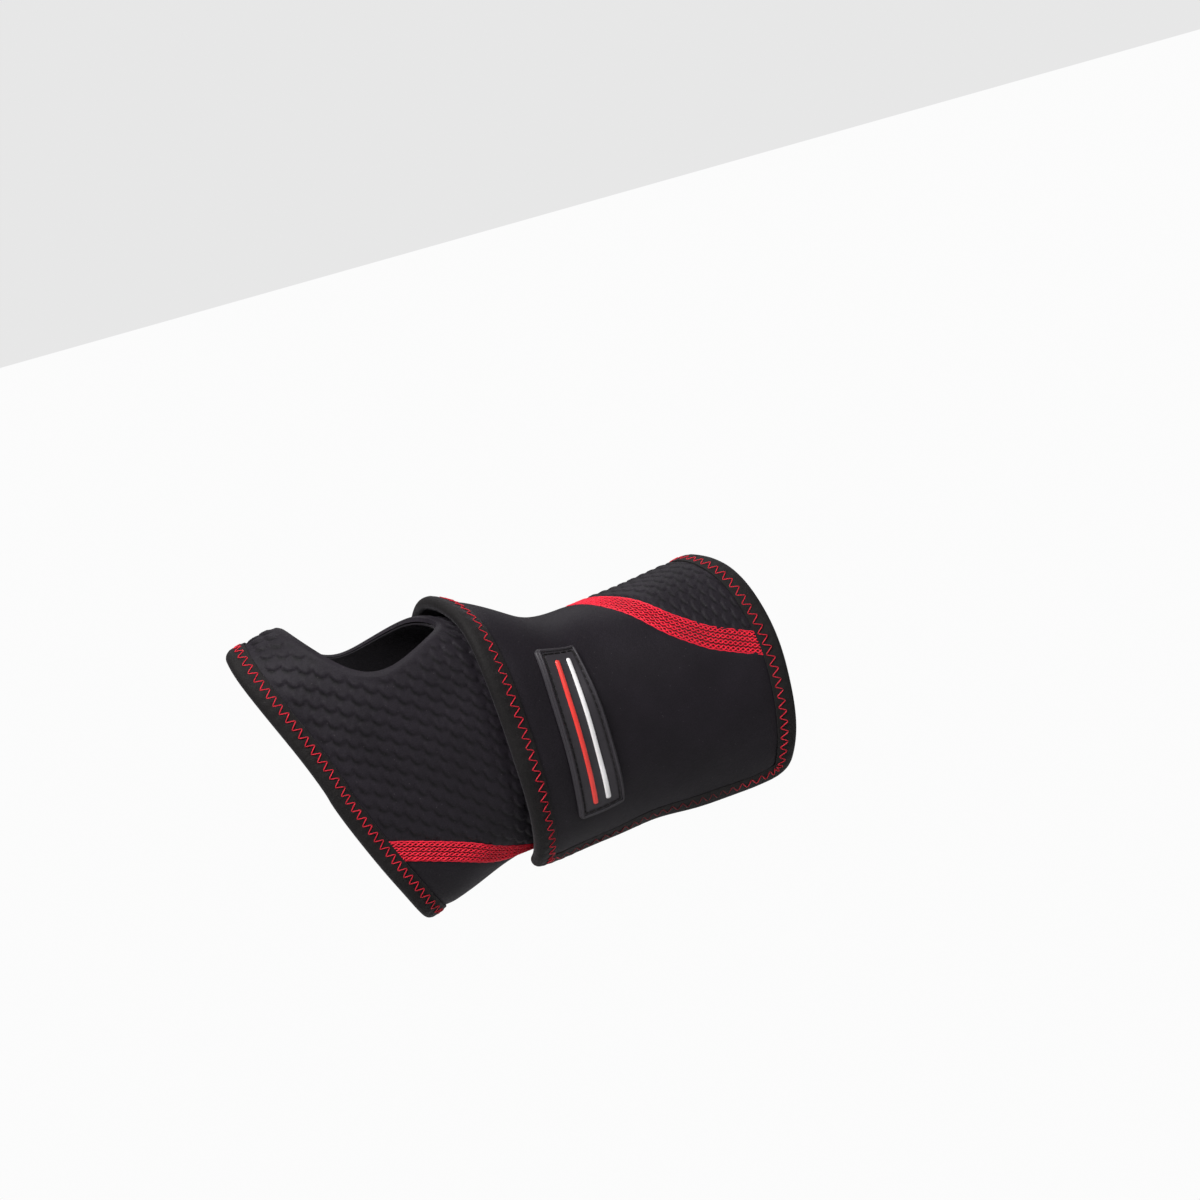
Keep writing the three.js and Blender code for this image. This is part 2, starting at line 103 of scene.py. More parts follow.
# How near a stitched edge the embossed pattern starts, and where it has its full height.
CLEAR_OF_TAPE = (5.5, 7.2)
CLEAR_OF_SEAM = (2.8, 4.2)
CLEAR_OF_HOLE = (1.6, 4.2)

# Rough spans of the cloth pieces, which only set how fine their grids are.
SLEEVE_SPAN = 136
PALM_SPAN = 165
SIDE_SPAN = (130, 60)
LINING_SPAN = 230
EMBOSSED_SPAN = (105, 46)
UPPER_SPAN = 75
PLAIN_WIDTH = 60
LOWER_SPAN = 85
HOOK_SPAN = (13, 76)

# ---- the skin surface


def cubic(value, rise, start, end, t):
    """A cubic step from a value, by its rise and its slopes at the start and at the end."""
    return value + t * (start + t * (3 * rise - 2 * start - end + t * (start + end - 2 * rise)))


def sine(degrees):
    return np.sin(np.radians(degrees))


def cosine(degrees):
    return np.cos(np.radians(degrees))


def hermite(x, values):
    """The smooth curve through a section measure, with the same slopes as the CAD surface."""
    at = np.array(SECTION_X, float)
    values = np.array(values, float)
    before = np.maximum(np.arange(len(at)) - 1, 0)
    after = np.minimum(np.arange(len(at)) + 1, len(at) - 1)
    slopes = (values[after] - values[before]) / (at[after] - at[before])
    i = np.clip(np.searchsorted(at, x) - 1, 0, len(at) - 2)
    span = at[i + 1] - at[i]
    t = (x - at[i]) / span
    rise = values[i + 1] - values[i]
    return cubic(values[i], rise, slopes[i] * span, slopes[i + 1] * span, t)


def rounded(value):
    return np.sign(value) * np.abs(value) ** (2 / SQUARENESS)


def bell(value):
    return np.exp(-value * value)


def skin(x, u):
    top, bottom, palm, back = (hermite(x, SECTIONS[key]) for key in SECTIONS)
    mound = MOUND["height"] * bell((x - MOUND["x"]) / MOUND["length"])
    mound = mound * bell((np.mod(u - MOUND["u"] + 180, 360) - 180) / MOUND["spread"])
    y = (palm + back) / 2 - (back - palm) / 2 * rounded(cosine(u)) - mound
    z = (top + bottom) / 2 + (top - bottom) / 2 * rounded(sine(u))
    return np.stack(np.broadcast_arrays(x, y, z), axis=-1)


def unit(vectors):
    return vectors / np.linalg.norm(vectors, axis=-1, keepdims=True)


def walked(points):
    """Length along a line of points, up to each point."""
    steps = np.linalg.norm(np.diff(points, axis=0), axis=1)
    return np.concatenate([[0], np.cumsum(steps)])


def skin_normal(x, u):
    step = 0.01
    along_x = skin(x + step, u) - skin(x - step, u)
    along_u = skin(x, u + step) - skin(x, u - step)
    return unit(np.cross(along_x, along_u))


def ripple(x, u):
    """Soft unevenness that every layer shares, as padded cloth has on an arm."""
    turn = np.radians(u)
    long = 0.28 * np.sin(x / 11 + 2 * turn) + 0.22 * np.sin(x / 7.3 - 3 * turn + 1)
    short = 0.14 * np.sin(x / 4.1 + 5 * turn + 2) + 0.12 * np.sin(x / 5.2 - 8 * turn)
    return long + short


def place(x, u, h):
    x, u, h = (np.asarray(value, float) for value in np.broadcast_arrays(x, u, h))
    return skin(x, u) + skin_normal(x, u) * (h + ripple(x, u))[..., None]


# ---- lines drawn on the cloth


def smooth_curve(points, count=40):
    """A smooth curve through a short list of points."""
    points = np.array(points, float)
    padded = np.vstack([points[0], points, points[-1]])
    out = []
    for i in range(len(points) - 1):
        before, a, b, after = padded[i : i + 4]
        t = np.linspace(0, 1, count, endpoint=i == len(points) - 2)[:, None]
        out.append(cubic(a, b - a, (b - before) / 2, (after - a) / 2, t))
    return np.vstack(out).T


PALM_SEAM = smooth_curve([(-90, -22), (-73, -25), (-56, -37), (-38, -64), (-18, -77), (50, -80)])
STRAP_SEAM = smooth_curve([(16, 1), (26, 0.85), (34, 0.76), (50, 0.67), (77, 0.6), (100, 0.55)])


def palm_seam(x):
    return np.interp(x, *PALM_SEAM)


def back_seam(x):
    return 180 - palm_seam(x)


def hand_edge(u):
    return HAND_EDGE["middle"] - HAND_EDGE["slant"] * sine(u + HAND_EDGE["turn"])


def strap_front(u):
    return STRAP_FRONT["middle"] - STRAP_FRONT["slant"] * sine(u)


def strap_rear(u):
    return STRAP_REAR["edge"] + STRAP_REAR["flare"] * np.maximum(0, cosine(u))


def strap_seam(u):
    return np.interp(u, *STRAP_SEAM)


def smoothstep(value, low, high):
    t = np.clip((value - low) / (high - low), 0, 1)
    return t * t * (3 - 2 * t)


def strap_drop(x, u):
    """How far the strap comes down to the sleeve where it is sewn to it. Next to the cuff it
    stays up on the cuff's tape."""
    return -1.7 * smoothstep(u, 108, 146) * (1 - smoothstep(x, 28, 38))


ARC_U = np.arange(-300, 301, 2.0)
ARC_X = -50.0
ARC_GIRTH = 118.5  # height and depth of the section at ARC_X, together


def arc_length(x, u):
    """Millimetres around the arm from the thumb side, for patterns that keep their scale."""
    arc = walked(skin(np.full(len(ARC_U), ARC_X), ARC_U))
    arc = arc - np.interp(90, ARC_U, arc)
    height = hermite(x, SECTIONS["top"]) - hermite(x, SECTIONS["bottom"])
    depth = hermite(x, SECTIONS["back"]) - hermite(x, SECTIONS["palm"])
    girth = (height + depth) / ARC_GIRTH
    return np.interp(u, ARC_U, arc) * girth


# ---- meshes


def in_scene(name, data):
    made = bpy.data.objects.new(name, data)
    bpy.context.scene.collection.objects.link(made)
    return made


def make_piece(name, points, faces, slot, uv=None, painted_shade=None):
    """A smooth-shaded piece from points in millimetres, with its faces pointing out. The last
    argument is painted shade: how deep each point lies in the cloth's hollows, from 0 to 1; its
    material darkens the colour by it."""
    points = np.asarray(points, float).reshape(-1, 3) * MM
    faces = np.asarray(faces)
    a, b, c = (points[faces[:, i]] for i in range(3))
    volume = np.einsum("ij,ij->i", a, np.cross(b, c)).sum()
    if faces.shape[1] == 4:
        d = points[faces[:, 3]]
        volume += np.einsum("ij,ij->i", a, np.cross(c, d)).sum()
    if volume < 0:
        faces = faces[:, ::-1]
    mesh = bpy.data.meshes.new(name)
    mesh.from_pydata(points.tolist(), [], faces.tolist())
    if uv is not None:
        layer = mesh.uv_layers.new(name="cloth")
        corners = np.zeros(len(mesh.loops), np.int32)
        mesh.loops.foreach_get("vertex_index", corners)
        layer.data.foreach_set("uv", (np.asarray(uv).reshape(-1, 2)[corners]).ravel())
    if painted_shade is not None:
        attribute = mesh.attributes.new("painted_shade", "FLOAT", "POINT")
        attribute.data.foreach_set("value", np.asarray(painted_shade, np.float32).ravel())
    mesh.polygons.foreach_set("use_smooth", [True] * len(mesh.polygons))
    mesh.set_sharp_from_angle(angle=math.radians(55))
    mesh.materials.append(MATERIALS[slot])
    piece = in_scene(name, mesh)
    return piece


def solid_sheet(name, x, u, outer, inner, slot, keep=None, painted_shade=None):
    """A closed sheet of cloth over a grid of places, between two heights. keep says which of the
    grid's cells are cloth."""
    count = x.size
    index = np.arange(count).reshape(x.shape)
    cells = np.stack([index[:-1, :-1], index[1:, :-1], index[1:, 1:], index[:-1, 1:]], axis=-1)
    quads = cells.reshape(-1, 4) if keep is None else cells[keep]
    starts = quads.ravel()
    ends = np.roll(quads, -1, axis=1).ravel()
    used = set(zip(starts.tolist(), ends.tolist()))
    rim = np.array([(b, a) for a, b in used if (b, a) not in used])
    walls = np.column_stack([rim[:, 0], rim[:, 1], rim[:, 1] + count, rim[:, 0] + count])
    faces = np.vstack([quads, quads[:, ::-1] + count, walls])
    points = np.concatenate([place(x, u, outer).reshape(-1, 3), place(x, u, inner).reshape(-1, 3)])
    flat = np.stack([x, arc_length(x, u)], axis=-1).reshape(-1, 2) * 0.1
    used_points, faces = np.unique(faces, return_inverse=True)
    uv = np.concatenate([flat, flat])[used_points]
    # Painted shade goes on the outer face only; the inner face gets none.
    if painted_shade is not None:
        painted_shade = np.concatenate([painted_shade.ravel(), 0 * painted_shade.ravel()])[used_points]
    return make_piece(name, points[used_points], faces.reshape(-1, 4), slot, uv, painted_shade)


def fractions(length, step):
    return np.linspace(0, 1, max(2, int(math.ceil(length / step)) + 1))


def grid(length, width, step):
    """Fractions along a cloth piece and across it, in steps of about the given size."""
    return np.meshgrid(fractions(length, step), fractions(width, step), indexing="ij")


def trimmed(a, b, distance, step):
    """Pulls the grid points near an outline onto it, and says which cells are inside. distance is
    negative inside the outline."""
    small = 1e-3
    near = np.abs(distance(a, b)) < 0.6 * step
    for _ in range(4):
        d = distance(a, b)
        slope_a = (distance(a + small, b) - d) / small
        slope_b = (distance(a, b + small) - d) / small
        pull = np.where(near, d / (slope_a**2 + slope_b**2 + 1e-9), 0)
        a = a - pull * slope_a
        b = b - pull * slope_b
    inside = distance(a, b) < 0.02 * step
    keep = inside[:-1, :-1] & inside[1:, :-1] & inside[1:, 1:] & inside[:-1, 1:]
    return a, b, keep


# ---- sweeps along a line


def beside(path, t, d, level):
    """The place d millimetres to the left of a path, with lengths measured at a height."""
    step = 1e-3
    x, u = path(t)
    along = place(*path(t + step), level) - place(*path(t - step), level)
    along_x = (place(x + step, u, level) - place(x - step, u, level)) / (2 * step)
    along_u = (place(x, u + step, level) - place(x, u - step, level)) / (2 * step)
    left = unit(np.cross(skin_normal(x, u), along))
    xx = (along_x * along_x).sum(-1)
    xu = (along_x * along_u).sum(-1)
    uu = (along_u * along_u).sum(-1)
    lx = (left * along_x).sum(-1)
    lu = (left * along_u).sum(-1)
    scale = d / (xx * uu - xu * xu)
    return x + scale * (uu * lx - xu * lu), u + scale * (xx * lu - xu * lx)


def even_steps(path, level, step, repeat=1):
    """Parameters that walk a path in equal steps of about the given length, and that length. The
    number of steps is a multiple of repeat."""
    t = np.linspace(0, 1, 1500)
    arc = walked(place(*path(t), level))
    count = max(1, int(round(arc[-1] / step / repeat))) * repeat
    return np.interp(np.linspace(0, arc[-1], count + 1), arc, t), arc[-1]


def swept_solid(name, path, t, outline, slot, level, closed, drop=None, painted_shade=0.0):
    """A band whose closed outline, d and h by step and point, is carried along a path."""
    d, h = outline
    steps, sides = d.shape
    t_grid = np.broadcast_to(t[:, None], d.shape)
    x, u = beside(path, t_grid, d, level)
    lift = 0 if drop is None else drop(x, u)
    points = place(x, u, h + lift)
    rows = np.arange(steps if closed else steps - 1)
    row, side = np.meshgrid(rows, np.arange(sides), indexing="ij")
    nxt = (row + 1) % steps
    faces = np.stack([row * sides + side, nxt * sides + side,
                      nxt * sides + (side + 1) % sides, row * sides + (side + 1) % sides], axis=-1)
    faces = faces.reshape(-1, 4)
    if not closed:
        half = sides // 2
        caps = []
        for first in (0, (steps - 1) * sides):
            for k in range(half - 1):
                quad = [first + k, first + k + 1, first + sides - 2 - k, first + sides - 1 - k]
                caps.append(quad if first else quad[::-1])
        faces = np.vstack([faces, caps])
    along = np.broadcast_to(walked(points[:, 0])[:, None], d.shape)
    uv = np.stack([along, d], axis=-1) * 0.1
    # The same painted shade over the whole band.
    return make_piece(name, points, faces, slot, uv, np.full(d.size, painted_shade))


def tubes(name, lines, normals, radius, slot, closed=False, painted_shade=0.0, sides=7):
    """Two-ply threads: lines is (threads, points, 3), and each is a closed tube along its line."""
    ahead = np.roll(lines, -1, axis=1) - np.roll(lines, 1, axis=1)
    if not closed:
        ahead[:, 0] = lines[:, 1] - lines[:, 0]
        ahead[:, -1] = lines[:, -1] - lines[:, -2]
    ahead = unit(ahead)
    across = unit(np.cross(ahead, normals))
    upward = np.cross(across, ahead)
    count, length = lines.shape[:2]
    angle = np.linspace(0, 2 * math.pi, sides, endpoint=False)
    phase = np.array([walked(line) for line in lines])[..., None] * (2 * math.pi / PLY_TURN)
    reach = radius * (0.86 + 0.2 * np.abs(np.cos(angle - phase)))
    if not closed:
        reach[:, [0, -1]] *= 0.05
    ring = across[:, :, None] * np.cos(angle)[:, None] + upward[:, :, None] * np.sin(angle)[:, None]
    points = lines[:, :, None] + ring * reach[..., None]
    index = np.arange(points.size // 3).reshape(count, length, sides)
    here = index if closed else index[:, :-1]
    there = np.roll(index, -1, axis=1) if closed else index[:, 1:]
    faces = np.stack([here, np.roll(here, -1, axis=2), np.roll(there, -1, axis=2), there], axis=-1)
    faces = faces.reshape(-1, 4)
    if not closed:
        ends = np.concatenate([index[:, 0, ::-1], index[:, -1]])
        caps = [[row[0], row[k], row[k + 1], row[k + 2]]
                for row in ends for k in range(1, sides - 2, 2)]
        faces = np.vstack([faces, caps])
    # Painted shade for each thread point, the same all round its tube.
    thread_point_shade = np.broadcast_to(np.reshape(painted_shade, (-1, 1)), (count * length, sides))
    return make_piece(name, points, faces, slot, painted_shade=thread_point_shade)


# ---- materials


def set_inputs(node, values):
    """Sets a node's own sockets; a space in a socket's name is written as _."""
    for name, value in values.items():
        node.inputs[name.replace("_", " ")].default_value = value


class Shader:
    """A material's node tree, with its principled shader and short ways to add nodes. place is the
    node and output that its patterns follow."""

    def __init__(self, name, color, roughness):
        self.material = bpy.data.materials.new(name)
        self.material.use_nodes = True
        self.tree = self.material.node_tree
        self.surface = self.tree.nodes["Principled BSDF"]
        self.place = None
        self.set(Base_Color=(*color, 1), Roughness=roughness, Specular_IOR_Level=0.2)

    def set(self, **values):
        set_inputs(self.surface, values)

    def node(self, kind, **inputs):
        made = self.tree.nodes.new(kind)
        set_inputs(made, inputs)
        return made

    def join(self, source, output, target, slot_name):
        self.tree.links.new(source.outputs[output], target.inputs[slot_name])

    def follow_cloth(self):
        """Patterns follow the cloth map, whose unit is ten millimetres."""
        cloth_map = self.node("ShaderNodeUVMap")
        cloth_map.uv_map = "cloth"
        self.place = (cloth_map, "UV")

    def follow_object(self):
        """Patterns follow the object, in metres."""
        self.place = (self.node("ShaderNodeTexCoord"), "Object")

    def ramp(self, low, high, dark, light):
        """A colour ramp from one colour to another between two factors."""
        made = self.node("ShaderNodeValToRGB")
        made.color_ramp.elements[0].position = low
        made.color_ramp.elements[0].color = (*dark, 1)
        made.color_ramp.elements[1].position = high
        made.color_ramp.elements[1].color = (*light, 1)
        return made


def scaled(color, factor):
    return tuple(min(1.0, channel * factor) for channel in color)


def noise_on(shader, size, detail, roughness):
    noise = shader.node("ShaderNodeTexNoise", Scale=1 / size, Detail=detail, Roughness=roughness)
    shader.join(*shader.place, noise, "Vector")
    return noise


def knit_bump(shader, grain, strength, depth, before=None):
    """A fine uneven knit, as a bump with cells of the given size in the place's units."""
    noise = noise_on(shader, grain, 3.0, 0.65)
    bump = shader.node("ShaderNodeBump", Strength=strength, Distance=depth)
    shader.join(noise, "Fac", bump, "Height")
    if before:
        shader.join(before, "Normal", bump, "Normal")
    return bump


def drift(shader, patch, detail, roughness, dark, light):
    """A colour that drifts from dark to light in patches of the given size."""
    noise = noise_on(shader, patch, detail, roughness)
    ramp = shader.ramp(0.3, 0.7, dark, light)
    shader.join(noise, "Fac", ramp, "Fac")
    return ramp


def worn_color(shader, color, patch, spread):
    """Lets the colour drift in soft patches, as dyed cloth does once it has been used."""
    dark, light = scaled(color, 1 - spread), scaled(color, 1 + spread)
    return drift(shader, patch, 4.0, 0.6, dark, light)


def multiplied(shader, under, ramp):
    mix = shader.node("ShaderNodeMixRGB", Fac=1.0)
    mix.blend_type = "MULTIPLY"
    shader.join(under, "Color", mix, "Color1")
    shader.join(ramp, "Color", mix, "Color2")
    return mix


def painted_hollow_shade(shader, under, depth):
    """Paints shade into a colour: darkens it, down to depth, in the hollows that a piece's shade
    attribute marks.
    """
    painted_shade = shader.node("ShaderNodeAttribute")
    painted_shade.attribute_name = "painted_shade"
    ramp = shader.ramp(0.0, 1.0, (1, 1, 1), (depth, depth, depth))
    shader.join(painted_shade, "Fac", ramp, "Fac")
    return multiplied(shader, under, ramp)


def mottled(shader, under, grain):
    """Darkens a colour by up to a half from yarn to yarn."""
    ramp = drift(shader, grain, 2.0, 0.7, (0.5, 0.5, 0.5), (1, 1, 1))
    return multiplied(shader, under, ramp)


def lint(shader, under, amount):
    """Adds small pale specks of lint over a colour."""
    cells = shader.node("ShaderNodeTexVoronoi", Scale=5.0, Randomness=1.0)
    ramp = shader.ramp(0.02, 0.07, (amount, amount, amount), (0, 0, 0))
    mix = shader.node("ShaderNodeMixRGB", Color2=(0.22, 0.2, 0.21, 1))
    shader.join(*shader.place, cells, "Vector")
    shader.join(cells, "Distance", ramp, "Fac")
    shader.join(ramp, "Color", mix, "Fac")
    shader.join(under, "Color", mix, "Color1")
    return mix


def cloth_shader(name, color, roughness, sheen, grain, bump_depth):
    """Knitted cloth; grain is its knit's size on the cloth map."""
    shader = Shader(name, color, roughness)
    shader.follow_cloth()
    worn = worn_color(shader, color, 1.6, 0.22)
    yarns = mottled(shader, worn, grain * 1.3)
    # Painted shade in the cloth's hollows darkens the colour to a fifth at the deepest.
    specks = lint(shader, painted_hollow_shade(shader, yarns, 0.2), 0.25)
    shader.join(specks, "Color", shader.surface, "Base Color")
    coarse = knit_bump(shader, grain * 4, 0.8, bump_depth * 2 * MM)
    fine = knit_bump(shader, grain, 1.0, bump_depth * MM, coarse)
    shader.join(fine, "Normal", shader.surface, "Normal")
    shader.set(Sheen_Weight=sheen, Sheen_Roughness=0.45, Sheen_Tint=(0.86, 0.82, 0.9, 1))
    return shader.material


def embossed_neoprene():
    return cloth_shader("embossed neoprene", (0.0175, 0.0138, 0.0195), 0.62, 0.06, 0.03, 0.08)


def smooth_neoprene():
    return cloth_shader("smooth neoprene", (0.0138, 0.0105, 0.0155), 0.6, 0.05, 0.03, 0.07)


def plush_lining():
    return cloth_shader("plush lining", (0.012, 0.010, 0.013), 0.85, 0.1, 0.05, 0.16)


def binding_tape():
    return cloth_shader("binding tape", (0.0135, 0.0118, 0.012), 0.7, 0.08, 0.03, 0.12)


def hook_tape():
    return cloth_shader("hook tape", (0.012, 0.011, 0.012), 0.5, 0.05, 0.04, 0.08)


def red_thread():
    color = (0.8, 0.016, 0.044)
    shader = Shader("red thread", color, 0.5)
    shader.follow_object()
    worn = worn_color(shader, color, 6 * MM, 0.18)
    # Painted shade where the thread lies deep darkens it to 0.12 of its colour.
    shader.join(painted_hollow_shade(shader, worn, 0.12), "Color", shader.surface, "Base Color")
    bump = knit_bump(shader, 0.12 * MM, 0.5, 0.03 * MM)
    shader.join(bump, "Normal", shader.surface, "Normal")
    shader.set(Sheen_Weight=0.08)
    return shader.material


def moulded_rubber(name, color, roughness, coat, grain_depth):
    """Soft moulded rubber with a fine grain and slightly uneven gloss."""
    shader = Shader(name, color, roughness)
    shader.follow_object()
    worn = worn_color(shader, color, 9 * MM, 0.08)
    shader.join(worn, "Color", shader.surface, "Base Color")
    bump = knit_bump(shader, 0.4 * MM, 0.4, grain_depth * MM)
    shader.join(bump, "Normal", shader.surface, "Normal")
    shader.set(Coat_Weight=coat, Coat_Roughness=0.25)
    return shader.material


MATERIALS = {
    "embossed_neoprene": embossed_neoprene(),
    "smooth_neoprene": smooth_neoprene(),
    "plush_lining": plush_lining(),
    "binding_tape": binding_tape(),
    "hook_tape": hook_tape(),
    "red_thread": red_thread(),
    "label_rubber": moulded_rubber("label rubber", (0.042, 0.038, 0.044), 0.5, 0.1, 0.03),
    "label_red": moulded_rubber("label red", (0.9, 0.062, 0.052), 0.35, 0.5, 0.01),
    "label_white": moulded_rubber("label white", (0.9, 0.88, 0.89), 0.45, 0.2, 0.01),
}


# ---- the embossed pattern

SCALE_ROW = 3.95
SCALE_LENGTH = 4.3
SLEEVE_SCALES = {"size": 1.0, "turn": 32}
STRAP_SCALES = {"size": 0.8, "turn": 58}
RELIEF = 0.8


def scales(x, u, size, turn):
    """Rows of small overlapping scales: their height from 0 to 1, and a painted-shade mask, how deep a
    point lies in the short slanting crescent below a scale's lower lip, where shade falls."""
    around = arc_length(x, u)
    wander = 0.45 * np.sin(x / 9 + around / 14) + 0.35 * np.sin(x / 17 - around / 8 + 2)
    turn = math.radians(turn)
    along = (x * math.cos(turn) - around * math.sin(turn)) / size
    across = (x * math.sin(turn) + around * math.cos(turn) + wander) / size
    row = np.floor(across / SCALE_ROW)
    height, painted_shade = np.zeros_like(across), np.zeros_like(across)
    for near in (row - 1, row, row + 1, row + 2):
        f = np.mod(along / SCALE_LENGTH + 0.5 * near, 1) - 0.5
        w = across / SCALE_ROW - near - (0.9 * f * f - 0.35 * f)
        body = 1 - 0.45 * smoothstep(np.abs(f), 0.25, 0.5)
        rise = smoothstep(w, -0.05, 0.12)
        fall = 1 - np.clip(w, 0, 1.2) / 1.2
        height = np.maximum(height, rise * fall * body)
        # Painted shade in the crescent below each scale's lip.
        under = smoothstep(w, -0.34, -0.06) * (1 - smoothstep(w, -0.04, 0.1))
        painted_shade = np.maximum(painted_shade, under * np.exp(-((f / 0.34) ** 4)))
    return height, painted_shade


# ---- cloth pieces

PRESS = 0.6
LINING_GAP = 0.006  # at each edge of the strap, as a share of its width
LINING_WIDTH = 0.988


def pressed(distance, reach):
    """How far stitching presses the cloth down, by the distance from a stitched edge."""
    return PRESS * (1 - smoothstep(distance, reach - 2.5, reach + 2.5))


def hole_distance(x, u):
    """Distance outside the thumb hole's outline, negative within it."""
    points = skin(x, u)
    dx = points[..., 0] - THUMB_HOLE["x"]
    dy = points[..., 1] - THUMB_HOLE["y"]
    turn = math.radians(THUMB_HOLE["turn"])
    a = (dx * math.cos(turn) + dy * math.sin(turn)) / THUMB_HOLE["half_length"]
    b = (dy * math.cos(turn) - dx * math.sin(turn)) / THUMB_HOLE["half_width"]
    out = (np.sqrt(a * a + b * b) - 1) * THUMB_HOLE["half_width"]
    return np.where(points[..., 2] > 0, out, 30.0)


def hole_margin(x, u):
    """Distance over the cloth from the thumb hole's edge, for a grid that is trimmed to it."""
    points = skin(x, u)
    edge = points[np.abs(hole_distance(x, u)) < 0.05]
    tree = KDTree(len(edge))
    for i, point in enumerate(edge):
        tree.insert(point, i)
    tree.balance()
    return np.array([tree.find(point)[2] for point in points.reshape(-1, 3)]).reshape(x.shape)


def across_sleeve(s, v, low, high):
    """Places of a sleeve panel: s from the hand edge to the cuff, v between two lines u of x."""
    x, u = np.full_like(s, -20.0), np.zeros_like(s)
    for _ in range(8):
        x = hand_edge(u) + (CUFF_EDGE - hand_edge(u)) * s
        u = low(x) + (high(x) - low(x)) * v
    return x, u


def seam_distance(x, u, low, high):
    """Distance from the nearer of a panel's two long edges."""
    around = arc_length(x, u)
    return np.minimum(around - arc_length(x, low(x)), arc_length(x, high(x)) - around)


def end_distance(x, u):
    """Distance from the nearer of the sleeve's open ends."""
    return np.minimum(0.94 * (x - hand_edge(u)), CUFF_EDGE - x)


def palm_cloth():
    """The embossed cloth over the palm, the thumb side and the back, with the thumb hole."""
    step = 0.5
    s, v = grid(SLEEVE_SPAN, PALM_SPAN, step)
    x, u = across_sleeve(s, v, lambda x: palm_seam(x) + 0.2, lambda x: back_seam(x) - 0.2)
    x, u, keep = trimmed(x, u, lambda x, u: -hole_distance(x, u), step)
    ends = end_distance(x, u)
    seams = seam_distance(x, u, palm_seam, back_seam)
    hole = hole_margin(x, u)
    clear = smoothstep(ends, *CLEAR_OF_TAPE) * smoothstep(seams, *CLEAR_OF_SEAM)
    clear = clear * smoothstep(hole, *CLEAR_OF_HOLE)
    lowered = np.maximum(pressed(ends, TAPE_WIDTH), pressed(seams, SEAM_WIDTH / 2))
    rounded_edge = 0.8 * (1 - smoothstep(hole, -0.3, 1.5))
    height, painted_shade = scales(x, u, **SLEEVE_SCALES)
    outer = PANEL[1] - lowered - rounded_edge + RELIEF * (height - 0.55) * clear
    # The crescents get painted shade, faded out near the ends, the seams and the hole as the relief
    # is.
    piece = solid_sheet("palm_cloth", x, u, outer, PANEL[0], "embossed_neoprene", keep,
                        painted_shade * clear)
    return fixed(piece, "sleeve", "palm_panel")


def side_cloth():
    """The plain strip on the little-finger side, between the two long seams."""
    s, v = grid(*SIDE_SPAN, 0.7)

    def low(x):
        return back_seam(x) - 360

    x, u = across_sleeve(s, v, lambda x: low(x) + 0.2, lambda x: palm_seam(x) - 0.2)
    lowered = np.maximum(pressed(end_distance(x, u), TAPE_WIDTH),
                         pressed(seam_distance(x, u, low, palm_seam), SEAM_WIDTH / 2))
    piece = solid_sheet("side_cloth", x, u, PANEL[1] - lowered, PANEL[0], "smooth_neoprene")
    return fixed(piece, "sleeve", "side_panel")


def sleeve_lining():
    """The soft knit that lines the whole sleeve."""
    step = 0.8
    s, v = grid(SLEEVE_SPAN, LINING_SPAN, step)
    x, u = across_sleeve(s, v, lambda x: -89.7 + 0 * x, lambda x: 269.7 + 0 * x)
    x, u, keep = trimmed(x, u, lambda x, u: -hole_distance(x, u), step)
    piece = solid_sheet("sleeve_lining_cloth", x, u, LINING[1], LINING[0], "plush_lining", keep)
    return fixed(piece, "sleeve", "sleeve_lining")


def strap_outline():
    """The strap's loose end in (x, u): round its front corner, along the end and round the rear
    corner."""
    round_by = END_CORNER / STRAP_DEGREE
    front_end, rear_end = STRAP_END
    front = np.array([strap_front(front_end), front_end])
    rear = np.array([strap_rear(rear_end), rear_end])
    before = np.array([strap_front(front_end + round_by), front_end + round_by])
    after = np.array([strap_rear(rear_end + round_by), rear_end + round_by])
    inward = END_CORNER * unit((rear - front) * [1, STRAP_DEGREE]) / [1, STRAP_DEGREE]
    t = np.linspace(0, 1, 14)[:, None]

    def corner(a, b, c):
        return (1 - t) ** 2 * a + 2 * t * (1 - t) * b + t**2 * c

    straight = np.linspace(front + inward, rear - inward, 60)[1:-1]
    return np.vstack([corner(before, front, front + inward), straight,
                      corner(rear - inward, rear, after)])


def strap_place(s, u):
    return strap_front(u) + (strap_rear(u) - strap_front(u)) * s, u


def loose_end(s):
    """The angle u at which the strap ends, for a place s across it."""
    x, u = strap_outline().T
    across = (x - strap_front(u)) / (strap_rear(u) - strap_front(u))
    return np.interp(s, across, u)


def fixed(piece, body, *nodes):
    """Fixes a piece to a body, in place of the nodes that it stands for."""
    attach(piece, body)
    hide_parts(*nodes)
    return piece


def blend_root(piece):
    """Bakes the transform of a piece that lies where the strap swings into its mesh."""
    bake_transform(piece)


def blend_end(piece):
    """Bakes the transform of a piece that lies where the strap peels into its mesh."""
    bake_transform(piece)


def strap_edges(x, u):
    """Distance from the nearer long edge of the strap."""
    return np.minimum(x - strap_front(u), strap_rear(u) - x)


def strap_seam_distance(x, u):
    """Distance from the seam between the strap's plain and embossed cloth."""
    width = strap_rear(u) - strap_front(u)
    gap = x - strap_front(u) - strap_seam(u) * width
    slope = width * (strap_seam(u + 1) - strap_seam(u - 1)) / 2 / STRAP_DEGREE
    return np.where(u > 14, gap / np.sqrt(1 + slope * slope), -30.0)


def strap_sheet(name, x, u, outer, inner, slot, painted_shade=None):
    """A sheet of the strap, which comes down to the sleeve with it at the root."""
    drop = strap_drop(x, u)
    return solid_sheet(name, x, u, outer + drop, inner + drop, slot, painted_shade=painted_shade)


